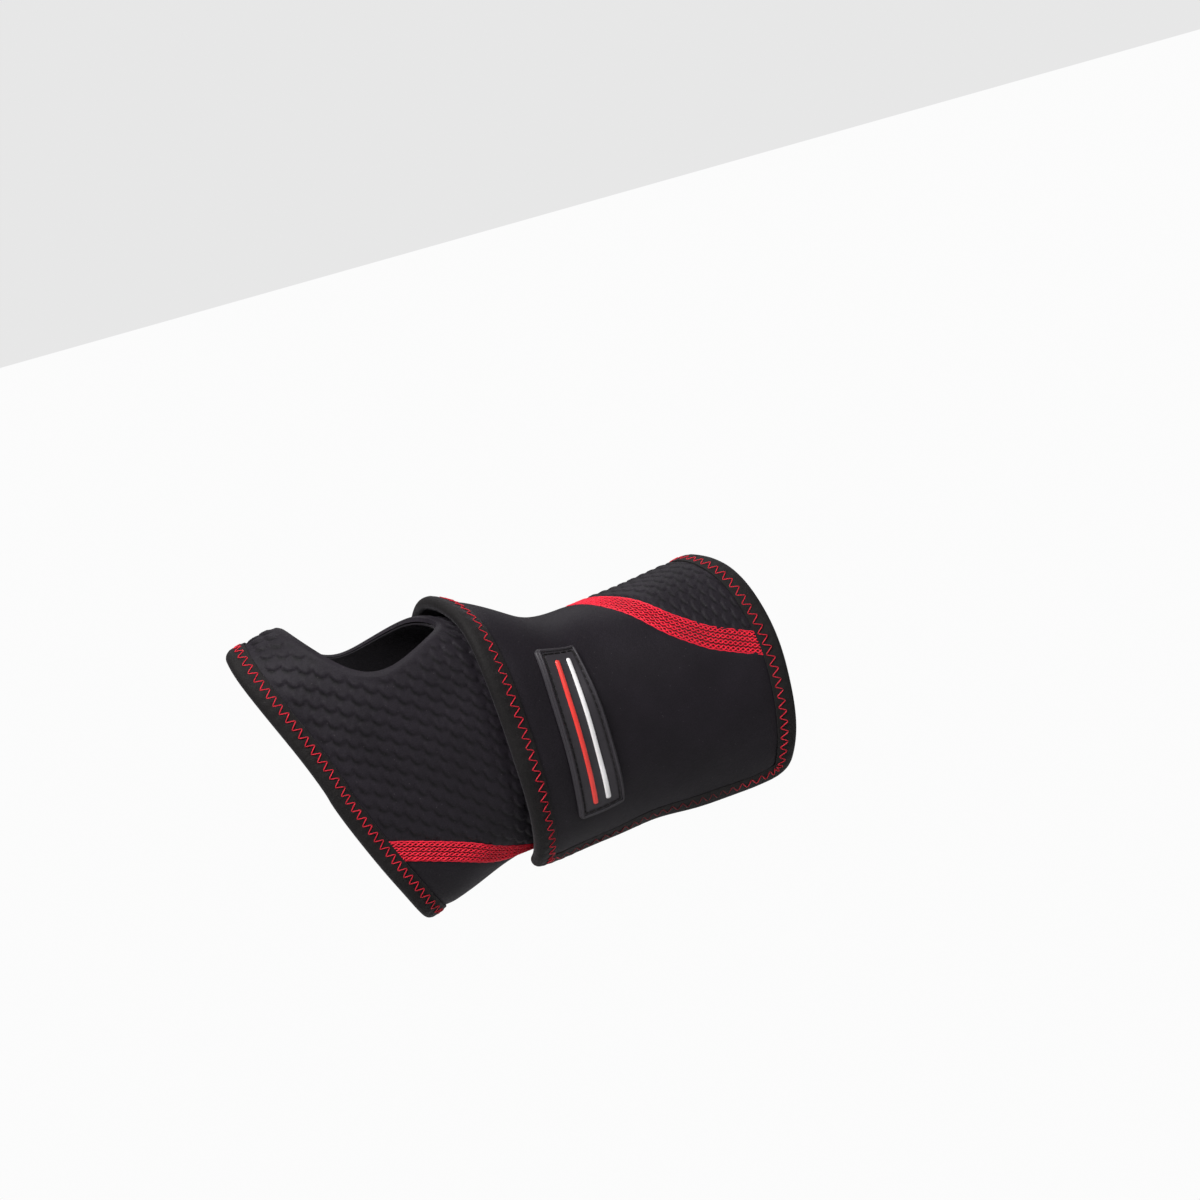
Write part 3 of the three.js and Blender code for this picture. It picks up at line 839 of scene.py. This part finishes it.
def strap_cloth(name, x, u, slot, relief=0, painted_shade=None):
    lowered = np.maximum(pressed(strap_edges(x, u), TAPE_WIDTH),
                         pressed(np.abs(strap_seam_distance(x, u)), SEAM_WIDTH / 2))
    outer = STRAP_PANEL[1] - lowered + relief
    return strap_sheet(name, x, u, outer, STRAP_PANEL[0], slot, painted_shade)


def strap_embossed_cloth():
    """The strap's embossed part, from the seam on the palm side over the thumb side to the root."""
    v, t = grid(*EMBOSSED_SPAN, 0.5)
    u = STRAP_ANCHOR + (17.5 - STRAP_ANCHOR) * v
    s = strap_seam(u) + 0.003 + (0.997 - strap_seam(u)) * t
    x, u = strap_place(s, u)
    seam = strap_seam_distance(x, u)
    clear = smoothstep(strap_edges(x, u), *CLEAR_OF_TAPE) * smoothstep(seam, *CLEAR_OF_SEAM)
    height, painted_shade = scales(x, u, **STRAP_SCALES)
    relief = 0.75 * RELIEF * (height - 0.55) * clear
    # The crescents get painted shade, faded out near the edges and the seam as the relief is.
    piece = strap_cloth("strap_embossed_cloth", x, u, "embossed_neoprene", relief, painted_shade * clear)
    blend_root(piece)
    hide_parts("strap_root_panel", "strap_top_panel")
    return piece


def strap_plain_cloth():
    """The strap's plain part: one piece from the root to the split line and one to the loose end."""
    v, t = grid(UPPER_SPAN, PLAIN_WIDTH, 0.6)
    u = STRAP_ANCHOR + (SPLIT_LINE - STRAP_ANCHOR) * v
    x, u = strap_place(0.003 + (strap_seam(u) - 0.006) * t, u)
    upper = strap_cloth("strap_plain_cloth_upper", x, u, "smooth_neoprene")
    blend_root(upper)
    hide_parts("strap_root_panel", "strap_panel")

    v, t = grid(LOWER_SPAN, STRAP_WIDTH, 0.6)
    s = t.copy()
    u = SPLIT_LINE + 0 * v
    for _ in range(4):
        u = SPLIT_LINE + (loose_end(s) + 0.4 - SPLIT_LINE) * v
        s = 0.003 + (np.where(u > 16, strap_seam(u), 1) - 0.006) * t
    x, u = strap_place(s, u)
    lower = strap_cloth("strap_plain_cloth_lower", x, u, "smooth_neoprene")
    blend_end(lower)
    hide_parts("strap_panel", "strap_end_panel")
    return upper, lower


def strap_lining():
    """The strap's lining, in an upper and a lower piece that meet at the split line."""
    inner, outer = STRAP_LINING
    v, t = grid(UPPER_SPAN, STRAP_WIDTH, 0.9)
    x, u = strap_place(LINING_GAP + LINING_WIDTH * t, STRAP_ANCHOR + (SPLIT_LINE - STRAP_ANCHOR) * v)
    upper = strap_sheet("strap_lining_upper", x, u, outer, inner, "plush_lining")
    blend_root(upper)
    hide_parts("strap_lining")

    v, t = grid(LOWER_SPAN, STRAP_WIDTH, 0.9)
    s = LINING_GAP + LINING_WIDTH * t
    x, u = strap_place(s, SPLIT_LINE + (loose_end(s) + 0.6 - SPLIT_LINE) * v)
    lower = strap_sheet("strap_lining_lower", x, u, outer, inner, "plush_lining")
    blend_end(lower)
    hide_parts("strap_lining", "strap_end_lining")
    return upper, lower


# ---- bound edges


def hand_path(t):
    u = -360 * t
    return hand_edge(u), u


def cuff_path(t):
    return CUFF_EDGE + 0 * t, 360 * t


def strap_front_path(t):
    u = STRAP_ANCHOR + (SPLIT_LINE - STRAP_ANCHOR) * t
    return strap_front(u), u


def strap_rear_path(t):
    u = SPLIT_LINE + (STRAP_ANCHOR - SPLIT_LINE) * t
    return strap_rear(u), u


def end_line():
    """The strap's lower edge, from the split line on the front edge round the loose end to the
    split line on the rear edge."""
    corner = strap_outline()
    front_u = np.linspace(SPLIT_LINE, corner[0, 1], 60)[:-1]
    rear_u = np.linspace(corner[-1, 1], SPLIT_LINE, 60)[1:]
    front = np.column_stack([strap_front(front_u), front_u])
    rear = np.column_stack([strap_rear(rear_u), rear_u])
    line = np.vstack([front, corner, rear])
    arc = walked(line)
    return arc / arc[-1], line


END_WALK, END_LINE = end_line()


def strap_end_path(t):
    return np.interp(t, END_WALK, END_LINE[:, 0]), np.interp(t, END_WALK, END_LINE[:, 1])


TAPE_FRONT = -0.8


def tape_height(d, top):
    """Height of the tape's outer face: it sinks towards its stitched inner edge."""
    return top - 0.55 * smoothstep(d, 1.5, TAPE_WIDTH)


def tape_outline(t_mm, bottom, top, pitch):
    """The folded tape's outline at each step: round the fold on the outside and back on the
    inside. It puffs out a little, unevenly, between its stitches."""
    middle = (top + bottom) / 2
    reach = (top - bottom) / 2
    puff = 0.09 * np.sin(2 * math.pi * t_mm / pitch) + 0.12 * np.sin(t_mm / 4.3 + 1)
    puff = (puff + 0.1 * np.sin(t_mm / 9.1))[:, None]
    leg = np.linspace(TAPE_WIDTH, TAPE_FRONT + reach, 9)
    turn = np.linspace(90, 270, 13)[1:-1]

    def side(inset):
        radius = reach - inset
        upper = tape_height(leg, top) - inset
        around_d = TAPE_FRONT + reach + radius * cosine(turn)
        around_h = middle + radius * sine(turn)
        lower = np.full(len(leg), bottom + inset)
        return (np.concatenate([leg, around_d, leg[::-1]]),
                np.concatenate([upper, around_h, lower]))

    outer_d, outer_h = side(0)
    inner_d, inner_h = side(TAPE_THICKNESS)
    d = np.concatenate([outer_d, inner_d[::-1]])[None] + 0 * puff
    h = np.concatenate([outer_h, inner_h[::-1]])[None] + 0 * puff
    bulge = np.exp(-(((leg - 3) / 2.6) ** 2))
    h[:, : len(leg)] += puff * bulge
    h[:, 0] -= 0.12
    return d, h


SLEEVE_PITCH = 2.9
STRAP_PITCH = 3.4
ZIGZAG_WIDTH = 2.5
ZIGZAG_INSET = 4.2
ZIGZAG_STEPS = 12


def zigzag_shape():
    """One zigzag of thread: how far it lies to the side, in widths, and how high, where it dips
    into the tape at its corners."""
    corner_t = np.array([0.0, 0.06, 0.12, 0.42, 0.48, 0.54, 0.6, 0.94])
    corner_d = np.array([0.38, 0.5, 0.4, -0.4, -0.5, -0.5, -0.42, 0.3])
    corner_h = np.array([0.02, -0.2, 0.03, 0.03, -0.2, -0.2, 0.03, 0.03])
    fine = np.linspace(0, 1, ZIGZAG_STEPS, endpoint=False)
    return np.interp(fine, corner_t, corner_d, period=1), np.interp(fine, corner_t, corner_h, period=1)


def zigzag(name, path, layers, pitch, closed, drop, shaded):
    """The zigzag thread along a tape, with painted shade on it: a little everywhere and more where it
    dips into the tape.
    """
    bottom, top = layers
    level = (bottom + top) / 2
    walk, _ = even_steps(path, level, pitch / ZIGZAG_STEPS, ZIGZAG_STEPS)
    walk = walk[:-1] if closed else walk
    side, height = (np.resize(shape, len(walk)) for shape in zigzag_shape())
    d = ZIGZAG_INSET - ZIGZAG_WIDTH * side
    h = tape_height(d, top) + THREAD * 0.75 + height
    x, u = beside(path, walk, d, top)
    lift = 0 if drop is None else drop(x, u)
    # Painted shade on the thread: some everywhere, more at the dips, and shaded adds painted shadow.
    sunk = np.clip(0.3 - 2 * height, 0.3, 0.7)
    if shaded:
        sunk = np.maximum(sunk, shaded(x, u))
    return tubes(name, place(x, u, h + lift)[None], skin_normal(x, u)[None], THREAD, "red_thread",
                 closed, sunk)


def bound_edge(name, path, layers, pitch, closed, drop=None, shaded=None):
    """Knitted tape folded over an edge, and the zigzag thread that holds it. shaded says where,
    from x and u, the thread gets painted shadow, and how much."""
    bottom, top = layers
    level = (bottom + top) / 2
    t, length = even_steps(path, level, 0.55)
    if closed:
        t = t[:-1]
    t_mm = np.arange(len(t)) * length / (len(t) - (0 if closed else 1))
    outline = tape_outline(t_mm, bottom, top, pitch)
    tape = swept_solid(name + "_tape", path, t, outline, "binding_tape", level, closed, drop)
    return tape, zigzag(name + "_zigzag", path, layers, pitch, closed, drop, shaded)


# ---- flat seams

SEAM_BASE = PANEL[1] - PRESS + 0.05
STRAP_SEAM_BASE = STRAP_PANEL[1] - PRESS + 0.05
STITCH = 1.6
CHAIN_ROWS = (-2.25, -0.75, 0.75, 2.25)
CHAIN_SWING = 0.48
SEAM_LEVEL = 3.0
SEAM_THREAD = 0.22
SEAM_FOOT = 18.5  # the angle u at which the strap's seam starts, inside the tape


def seam_band(name, path, base):
    """The thin band below a seam's threads, a little crowned."""
    half = SEAM_WIDTH / 2
    t, _ = even_steps(path, SEAM_LEVEL, 0.5)
    top = np.linspace(half, -half, 11)
    d = np.concatenate([top, top[::-1]])[None] + 0 * t[:, None]
    x, u = beside(path, t[:, None] + 0 * d, d, SEAM_LEVEL)
    rise = np.concatenate([0.1 + 0.16 * (1 - (top / half) ** 4), 0 * top])
    # The band takes the red thread's full painted shade, so it shows dark between the threads.
    return swept_solid(name, path, t, (d, base(d, x, u) + rise), "red_thread", SEAM_LEVEL, False,
                       painted_shade=1.0)


def seam_threads(name, path, base):
    """Rows of chain stitches, each of two threads that swing apart and cross, and a rim thread."""
    rim = SEAM_WIDTH / 2 - 0.1
    walk, length = even_steps(path, SEAM_LEVEL, STITCH / 6)
    s_mm = np.linspace(0, length, len(walk))
    courses = []
    for i, middle in enumerate(CHAIN_ROWS):
        phase = math.pi * s_mm / STITCH + i * math.pi / 2
        for side in (-1, 1):
            courses.append((middle + side * CHAIN_SWING * np.sin(phase),
                            0.36 + side * 0.1 * np.cos(phase)))
    for side in (-1, 1):
        courses.append((side * rim + 0.06 * np.sin(s_mm * 2.1), 0.3 + 0 * s_mm))
    lines, normals = [], []
    for d, rise in courses:
        x, u = beside(path, walk, d, SEAM_LEVEL)
        lines.append(place(x, u, base(d, x, u) + rise))
        normals.append(skin_normal(x, u))
    return tubes(name, np.array(lines), np.array(normals), SEAM_THREAD, "red_thread")


def flat_seam(name, path, base):
    """A wide flat seam. base is the height that it lies on, from d, x and u."""
    return seam_band(name + "_band", path, base), seam_threads(name + "_threads", path, base)


def on_sleeve(d, x, u):
    return SEAM_BASE + 0 * d


def on_strap(d, x, u):
    return STRAP_SEAM_BASE + strap_drop(x, u) + 0 * d


def off_strap(d, x, u):
    """From the strap's root down onto the sleeve."""
    strap = STRAP_SEAM_BASE - 0.5 + strap_drop(x, u)
    sleeve = PANEL[1] + 0.1 + smoothstep(x, 36, 41)
    return strap + (sleeve - strap) * smoothstep(d, -1.2, 2.6)


def long_seam(name, seam, node):
    start = hand_edge(seam(-80.0)) + TAPE_WIDTH - 2.2
    end = CUFF_EDGE - TAPE_WIDTH - 0.2

    def path(t):
        x = start + (end - start) * t
        return x, seam(x)

    for piece in flat_seam(name, path, on_sleeve):
        fixed(piece, "sleeve", node)


def strap_flat_seam():
    """The seam between the strap's plain and embossed cloth."""

    def path(t):
        u = SEAM_FOOT + (STRAP_ANCHOR - 2 - SEAM_FOOT) * t
        return strap_place(strap_seam(u), u)

    for piece in flat_seam("strap_seam", path, on_strap):
        blend_root(piece)
        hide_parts("strap_seam_stitch")


def anchor_seam():
    """The seam that holds the strap's root to the sleeve."""

    def path(t):
        u = STRAP_ANCHOR + 1.5 + 0 * t
        start, end = strap_front(STRAP_ANCHOR) + 0.5, strap_rear(STRAP_ANCHOR) - 0.5
        return end + (start - end) * t, u

    for piece in flat_seam("strap_anchor_seam", path, off_strap):
        fixed(piece, "sleeve", "strap_anchor_stitch")


# ---- the label

LABEL = {"x": -17.1, "slant": 2.8, "from": -36, "to": 50, "width": 15.5}
LABEL_CORNER = 1.4
LABEL_RIM = {"inset": 0.85, "half_width": 0.42, "height": 0.38}
LABEL_STITCH = {"inset": 1.9, "pitch": 2.4, "radius": 0.17, "points": 8}
STRIPE = {"from": -29, "to": 43, "width": 1.6, "offset": 2.2}
LABEL_U = np.linspace(LABEL["from"] - 10, LABEL["to"] + 10, 200)


def label_line(u):
    return LABEL["x"] - LABEL["slant"] * sine(u)


def label_walk():
    """Millimetres along the label's middle line, with 0 at the label's middle."""
    points = place(label_line(LABEL_U), LABEL_U, LABEL_BASE[0])
    arc = walked(points)
    start, end = np.interp([LABEL["from"], LABEL["to"]], LABEL_U, arc)
    return arc - (start + end) / 2, (end - start) / 2


LABEL_WALK, LABEL_HALF = label_walk()


def on_label(across, along):
    """A place on the label, from millimetres across it and up it."""
    u = np.interp(along, LABEL_WALK, LABEL_U)
    return beside(lambda u: (label_line(u), u), u, -across, LABEL_BASE[0])


def box_distance(a, b, half_a, half_b, corner):
    """Signed distance to a rectangle with rounded corners."""
    past_a = np.abs(a) - (half_a - corner)
    past_b = np.abs(b) - (half_b - corner)
    outside = np.hypot(np.maximum(past_a, 0), np.maximum(past_b, 0))
    return outside + np.minimum(np.maximum(past_a, past_b), 0) - corner


def moulded(name, distance, middle, reach, step, heights, slot, node):
    """A raised shape on the label with a rounded edge. heights are its bottom and its top, or its
    top as a function of the depth inside the outline."""
    a = np.arange(-reach[0] - step, reach[0] + 1.5 * step, step)
    b = np.arange(-reach[1] - step, reach[1] + 1.5 * step, step)
    a, b = np.meshgrid(a, b, indexing="ij")
    a, b, keep = trimmed(a, b, distance, step)
    inside = np.maximum(-distance(a, b), 0)
    bottom, top = heights
    x, u = on_label(a + middle[0], b + middle[1])
    piece = solid_sheet(name, x, u, top(inside), bottom, slot, keep)
    return fixed(piece, "strap", node)


def rounded_top(top, fall, over):
    """A height function that falls off over the last stretch inside an outline."""
    return lambda inside: top - fall * (1 - np.sqrt(1 - (1 - np.clip(inside / over, 0, 1)) ** 2))


def label_plate():
    half = LABEL["width"] / 2
    edge = rounded_top(LABEL_BASE[1], 0.45, 0.5)

    def top(inside):
        return edge(inside) - 0.16 * bell((inside - LABEL_STITCH["inset"]) / 0.28)

    moulded("label_plate", lambda a, b: box_distance(a, b, half, LABEL_HALF, LABEL_CORNER), (0, 0),
            (half, LABEL_HALF), 0.25, (LABEL_BASE[0], top), "label_rubber", "label_base")


def label_frame_path(inset):
    """A path round the label, a given distance inside its outline, with its left side inwards."""
    half_a = LABEL["width"] / 2 - inset
    half_b = LABEL_HALF - inset
    corner = max(0.2, LABEL_CORNER - inset)
    angle = np.radians(np.arange(0, 91, 10))
    a, b = [], []
    for turn, (side_a, side_b) in enumerate(((1, 1), (-1, 1), (-1, -1), (1, -1))):
        now = angle + turn * math.pi / 2
        a.append(side_a * (half_a - corner) + corner * np.cos(now))
        b.append(side_b * (half_b - corner) + corner * np.sin(now))
    a = np.concatenate(a + [a[0][:1]])
    b = np.concatenate(b + [b[0][:1]])
    arc = walked(np.column_stack([a, b]))
    arc = arc / arc[-1]

    def path(t):
        t = np.mod(t, 1)
        return on_label(np.interp(t, arc, a), np.interp(t, arc, b))

    return path


def label_rim():
    """The raised line round the label."""
    top = LABEL_BASE[1]
    path = label_frame_path(LABEL_RIM["inset"])
    t = even_steps(path, top, 0.4)[0][:-1, None]
    turn = np.radians(np.linspace(0, 180, 9))
    half_width = LABEL_RIM["half_width"]
    d = np.concatenate([half_width * np.cos(turn), half_width * np.cos(turn[::-1])])
    h = np.concatenate([top + 0.1 + LABEL_RIM["height"] * np.sin(turn), top - 0.02 + 0 * turn])
    rim = swept_solid("label_raised_line", path, t[:, 0], (d + 0 * t, h + 0 * t), "label_rubber",
                      top, True)
    fixed(rim, "strap", "label_rim")


def label_stitches():
    """The stitches round the label, each a short arched thread."""
    top = LABEL_BASE[1]
    count = LABEL_STITCH["points"]
    path = label_frame_path(LABEL_STITCH["inset"])
    t, _ = even_steps(path, top, LABEL_STITCH["pitch"])
    walk = t[:-1, None] + np.linspace(0.1, 0.9, count) * (t[1] - t[0])
    x, u = path(walk)
    arch = 0.02 + 0.12 * np.sin(math.pi * np.linspace(0, 1, count))
    stitches = tubes("label_stitches", place(x, u, top + arch), skin_normal(x, u),
                     LABEL_STITCH["radius"], "binding_tape")
    fixed(stitches, "strap", "label_stitch")


def label_stripes():
    """Two plain raised stripes along the label."""
    start, end = np.interp([STRIPE["from"], STRIPE["to"]], LABEL_U, LABEL_WALK)
    middle, half_length = (start + end) / 2, (end - start) / 2
    half_width = STRIPE["width"] / 2
    bottom = LABEL_BASE[1] + 0.03
    top = rounded_top(LABEL_BASE[1] + 0.45, 0.4, 0.6)

    def stripe(a, b):
        return box_distance(a, b, half_width, half_length, half_width * 0.8)

    for color, side in (("red", -1), ("white", 1)):
        moulded(f"label_{color}_line_moulded", stripe, (side * STRIPE["offset"], middle),
                (half_width, half_length), 0.2, (bottom, top), f"label_{color}",
                f"label_{color}_stripe")


# ---- hook tape


HOOK_INSET = TAPE_WIDTH + 1.2
HOOK_PEEL_GAP = 1.8
HOOK_ROWS = (8, 56)
HOOK_RADIUS = 0.1


def hook_place(s, v):
    """A place on the hook patch: s across the strap, v from the peel line towards the end."""
    margin = HOOK_INSET / STRAP_WIDTH
    front_peel, rear_peel = PEEL_LINE
    s = margin + (1 - 2 * margin) * s
    start = front_peel + (rear_peel - front_peel) * s - HOOK_PEEL_GAP
    end = np.interp(s, (0, 1), STRAP_END) + HOOK_INSET / STRAP_DEGREE
    return strap_place(s, start + (end - start) * v)


def hook_patch():
    """The hook tape under the strap's loose end."""
    v, t = grid(*HOOK_SPAN, 0.8)
    x, u = hook_place(t, v)
    patch = solid_sheet("hook_patch_base", x, u, HOOK_BASE[1], HOOK_BASE[0], "hook_tape")
    fixed(patch, "strap_end", "hook_patch")


def small_hooks():
    """The patch's hooks, in rows: each stands down from the tape and curls back up at its tip."""
    rows, per_row = HOOK_ROWS
    v, t = np.meshgrid(np.linspace(0.08, 0.92, rows), np.linspace(0.01, 0.99, per_row), indexing="ij")
    x, u = (value.ravel()[:, None] for value in hook_place(t, v))
    down = np.array([0, 0.3, 0.6, 0.74, 0.7, 0.55])
    over = np.array([0, 0, 0.02, 0.14, 0.3, 0.36])
    x, u = x + over, u + 0 * over
    bottom = HOOK_BASE[0]
    around = place(x, u + 1, bottom) - place(x, u, bottom)
    hooks = tubes("hooks", place(x, u, bottom + 0.05 - down), unit(around), HOOK_RADIUS, "hook_tape")
    fixed(hooks, "strap_end", "hook_patch")


# ---- camera, light and floor


CAMERA = {"azimuth": -28, "elevation": 12, "roll": 13.5, "distance": 0.870, "lens": 85, "sensor": 36}
CAMERA_SHIFT = {"across": 0.0031, "up": 0.0372}
LIGHTS = {
    "key light": {"azimuth": -60, "elevation": 50, "distance": 0.9, "size": 0.35, "power": 10},
    "fill light": {"azimuth": 25, "elevation": 30, "distance": 1.2, "size": 0.6, "power": 4},
    "rim light": {"azimuth": 150, "elevation": 50, "distance": 0.9, "size": 0.5, "power": 2},
}
FLOOR = {"reach": 6.0, "height": -0.35}


def unit_view(azimuth, elevation):
    """The directions right, up and back of an upright camera."""
    a, e = math.radians(azimuth), math.radians(elevation)
    back = np.array([math.sin(a) * math.cos(e), -math.cos(a) * math.cos(e), math.sin(e)])
    right = np.array([math.cos(a), math.sin(a), 0])
    return right, np.cross(back, right), back


def aimed(name, data, across, upward, back, at):
    """Adds a camera or a light at a place, looking against the direction back."""
    made = in_scene(name, data)
    turn = Matrix(np.column_stack([across, upward, back]).tolist()).to_4x4()
    made.matrix_world = Matrix.Translation(at.tolist()) @ turn
    return made


def camera():
    """Looks at the palm side from the hand end, tilted, with a portrait lens."""
    right, up, back = unit_view(CAMERA["azimuth"], CAMERA["elevation"])
    tilt = math.radians(CAMERA["roll"])
    across = right * math.cos(tilt) - up * math.sin(tilt)
    upward = right * math.sin(tilt) + up * math.cos(tilt)
    at = back * CAMERA["distance"] + across * CAMERA_SHIFT["across"] + upward * CAMERA_SHIFT["up"]
    data = bpy.data.cameras.new("camera")
    data.lens = CAMERA["lens"]
    data.sensor_width = CAMERA["sensor"]
    bpy.context.scene.camera = aimed("camera", data, across, upward, back, at)


def soft_light(name, azimuth, elevation, distance, size, power):
    """A square softbox that faces the object's middle."""
    right, up, back = unit_view(azimuth, elevation)
    data = bpy.data.lights.new(name, "AREA")
    data.shape = "SQUARE"
    data.size = size
    data.energy = power
    aimed(name, data, right, up, back, back * distance)


def seen_by_camera(tree, lit, seen, output):
    """Lets the camera see one shader where light rays see the other, for a white backdrop that
    doesn't flood the brace with light."""
    path = tree.nodes.new("ShaderNodeLightPath")
    mix = tree.nodes.new("ShaderNodeMixShader")
    tree.links.new(path.outputs["Is Camera Ray"], mix.inputs["Fac"])
    tree.links.new(lit.outputs[0], mix.inputs[1])
    tree.links.new(seen.outputs[0], mix.inputs[2])
    tree.links.new(mix.outputs["Shader"], output.inputs["Surface"])


def studio():
    """A pale room with a wide floor well below the brace and soft lights above it."""
    scene = bpy.context.scene
    scene.view_settings.view_transform = "Standard"
    scene.world = bpy.data.worlds.new("studio")
    scene.world.use_nodes = True
    tree = scene.world.node_tree
    room = tree.nodes["Background"]
    room.inputs["Strength"].default_value = 0.17
    backdrop = tree.nodes.new("ShaderNodeBackground")
    backdrop.inputs["Strength"].default_value = 1.0
    seen_by_camera(tree, room, backdrop, tree.nodes["World Output"])

    shader = Shader("floor", (0.8, 0.8, 0.8), 0.9)
    white = shader.node("ShaderNodeEmission", Color=(1, 1, 1, 1), Strength=0.97)
    seen_by_camera(shader.tree, shader.surface, white, shader.tree.nodes["Material Output"])
    mesh = bpy.data.meshes.new("floor")
    reach, low = FLOOR["reach"], FLOOR["height"]
    corners = [(-reach, -reach, low), (reach, -reach, low), (reach, reach, low), (-reach, reach, low)]
    mesh.from_pydata(corners, [], [(0, 1, 2, 3)])
    mesh.materials.append(shader.material)
    in_scene("floor", mesh)

    for name, light in LIGHTS.items():
        soft_light(name, **light)


# ---- the whole brace


def cloth():
    """Makes the cloth pieces."""
    palm = palm_cloth()
    side = side_cloth()
    lining = sleeve_lining()
    embossed = strap_embossed_cloth()
    upper, lower = strap_plain_cloth()
    upper, lower = strap_lining()


def end_thread_shadow(x, u):
    """Painted shadow on the thread along the strap's end, except near its rear corner."""
    s = (x - strap_front(u)) / (strap_rear(u) - strap_front(u))
    return 0.93 * smoothstep(s, 0.06, 0.13) * (1 - smoothstep(s, 0.74, 0.86))


def edges():
    """The bound edges of the sleeve and of the strap."""
    for name, path in (("hand", hand_path), ("cuff", cuff_path)):
        for piece in bound_edge(name, path, SLEEVE_LAYERS, SLEEVE_PITCH, True):
            fixed(piece, "sleeve", f"{name}_binding", f"{name}_binding_stitch")
    for side, path in (("front", strap_front_path), ("rear", strap_rear_path)):
        name = f"strap_{side}"
        for piece in bound_edge(name, path, STRAP_LAYERS, STRAP_PITCH, False, strap_drop):
            blend_root(piece)
            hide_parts(f"strap_root_{side}_binding", f"strap_root_{side}_stitch",
                        f"{name}_binding", f"{name}_stitch")
    for piece in bound_edge("strap_end", strap_end_path, STRAP_LAYERS, STRAP_PITCH, False,
                            shaded=end_thread_shadow):
        blend_end(piece)
        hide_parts("strap_end_binding", "strap_end_stitch",
                    "strap_front_binding", "strap_rear_binding")


cloth()
edges()
long_seam("palm_seam", palm_seam, "palm_seam_stitch")
long_seam("back_seam", back_seam, "back_seam_stitch")
strap_flat_seam()
anchor_seam()
label_plate()
label_rim()
label_stitches()
label_stripes()
hook_patch()
small_hooks()
camera()
studio()
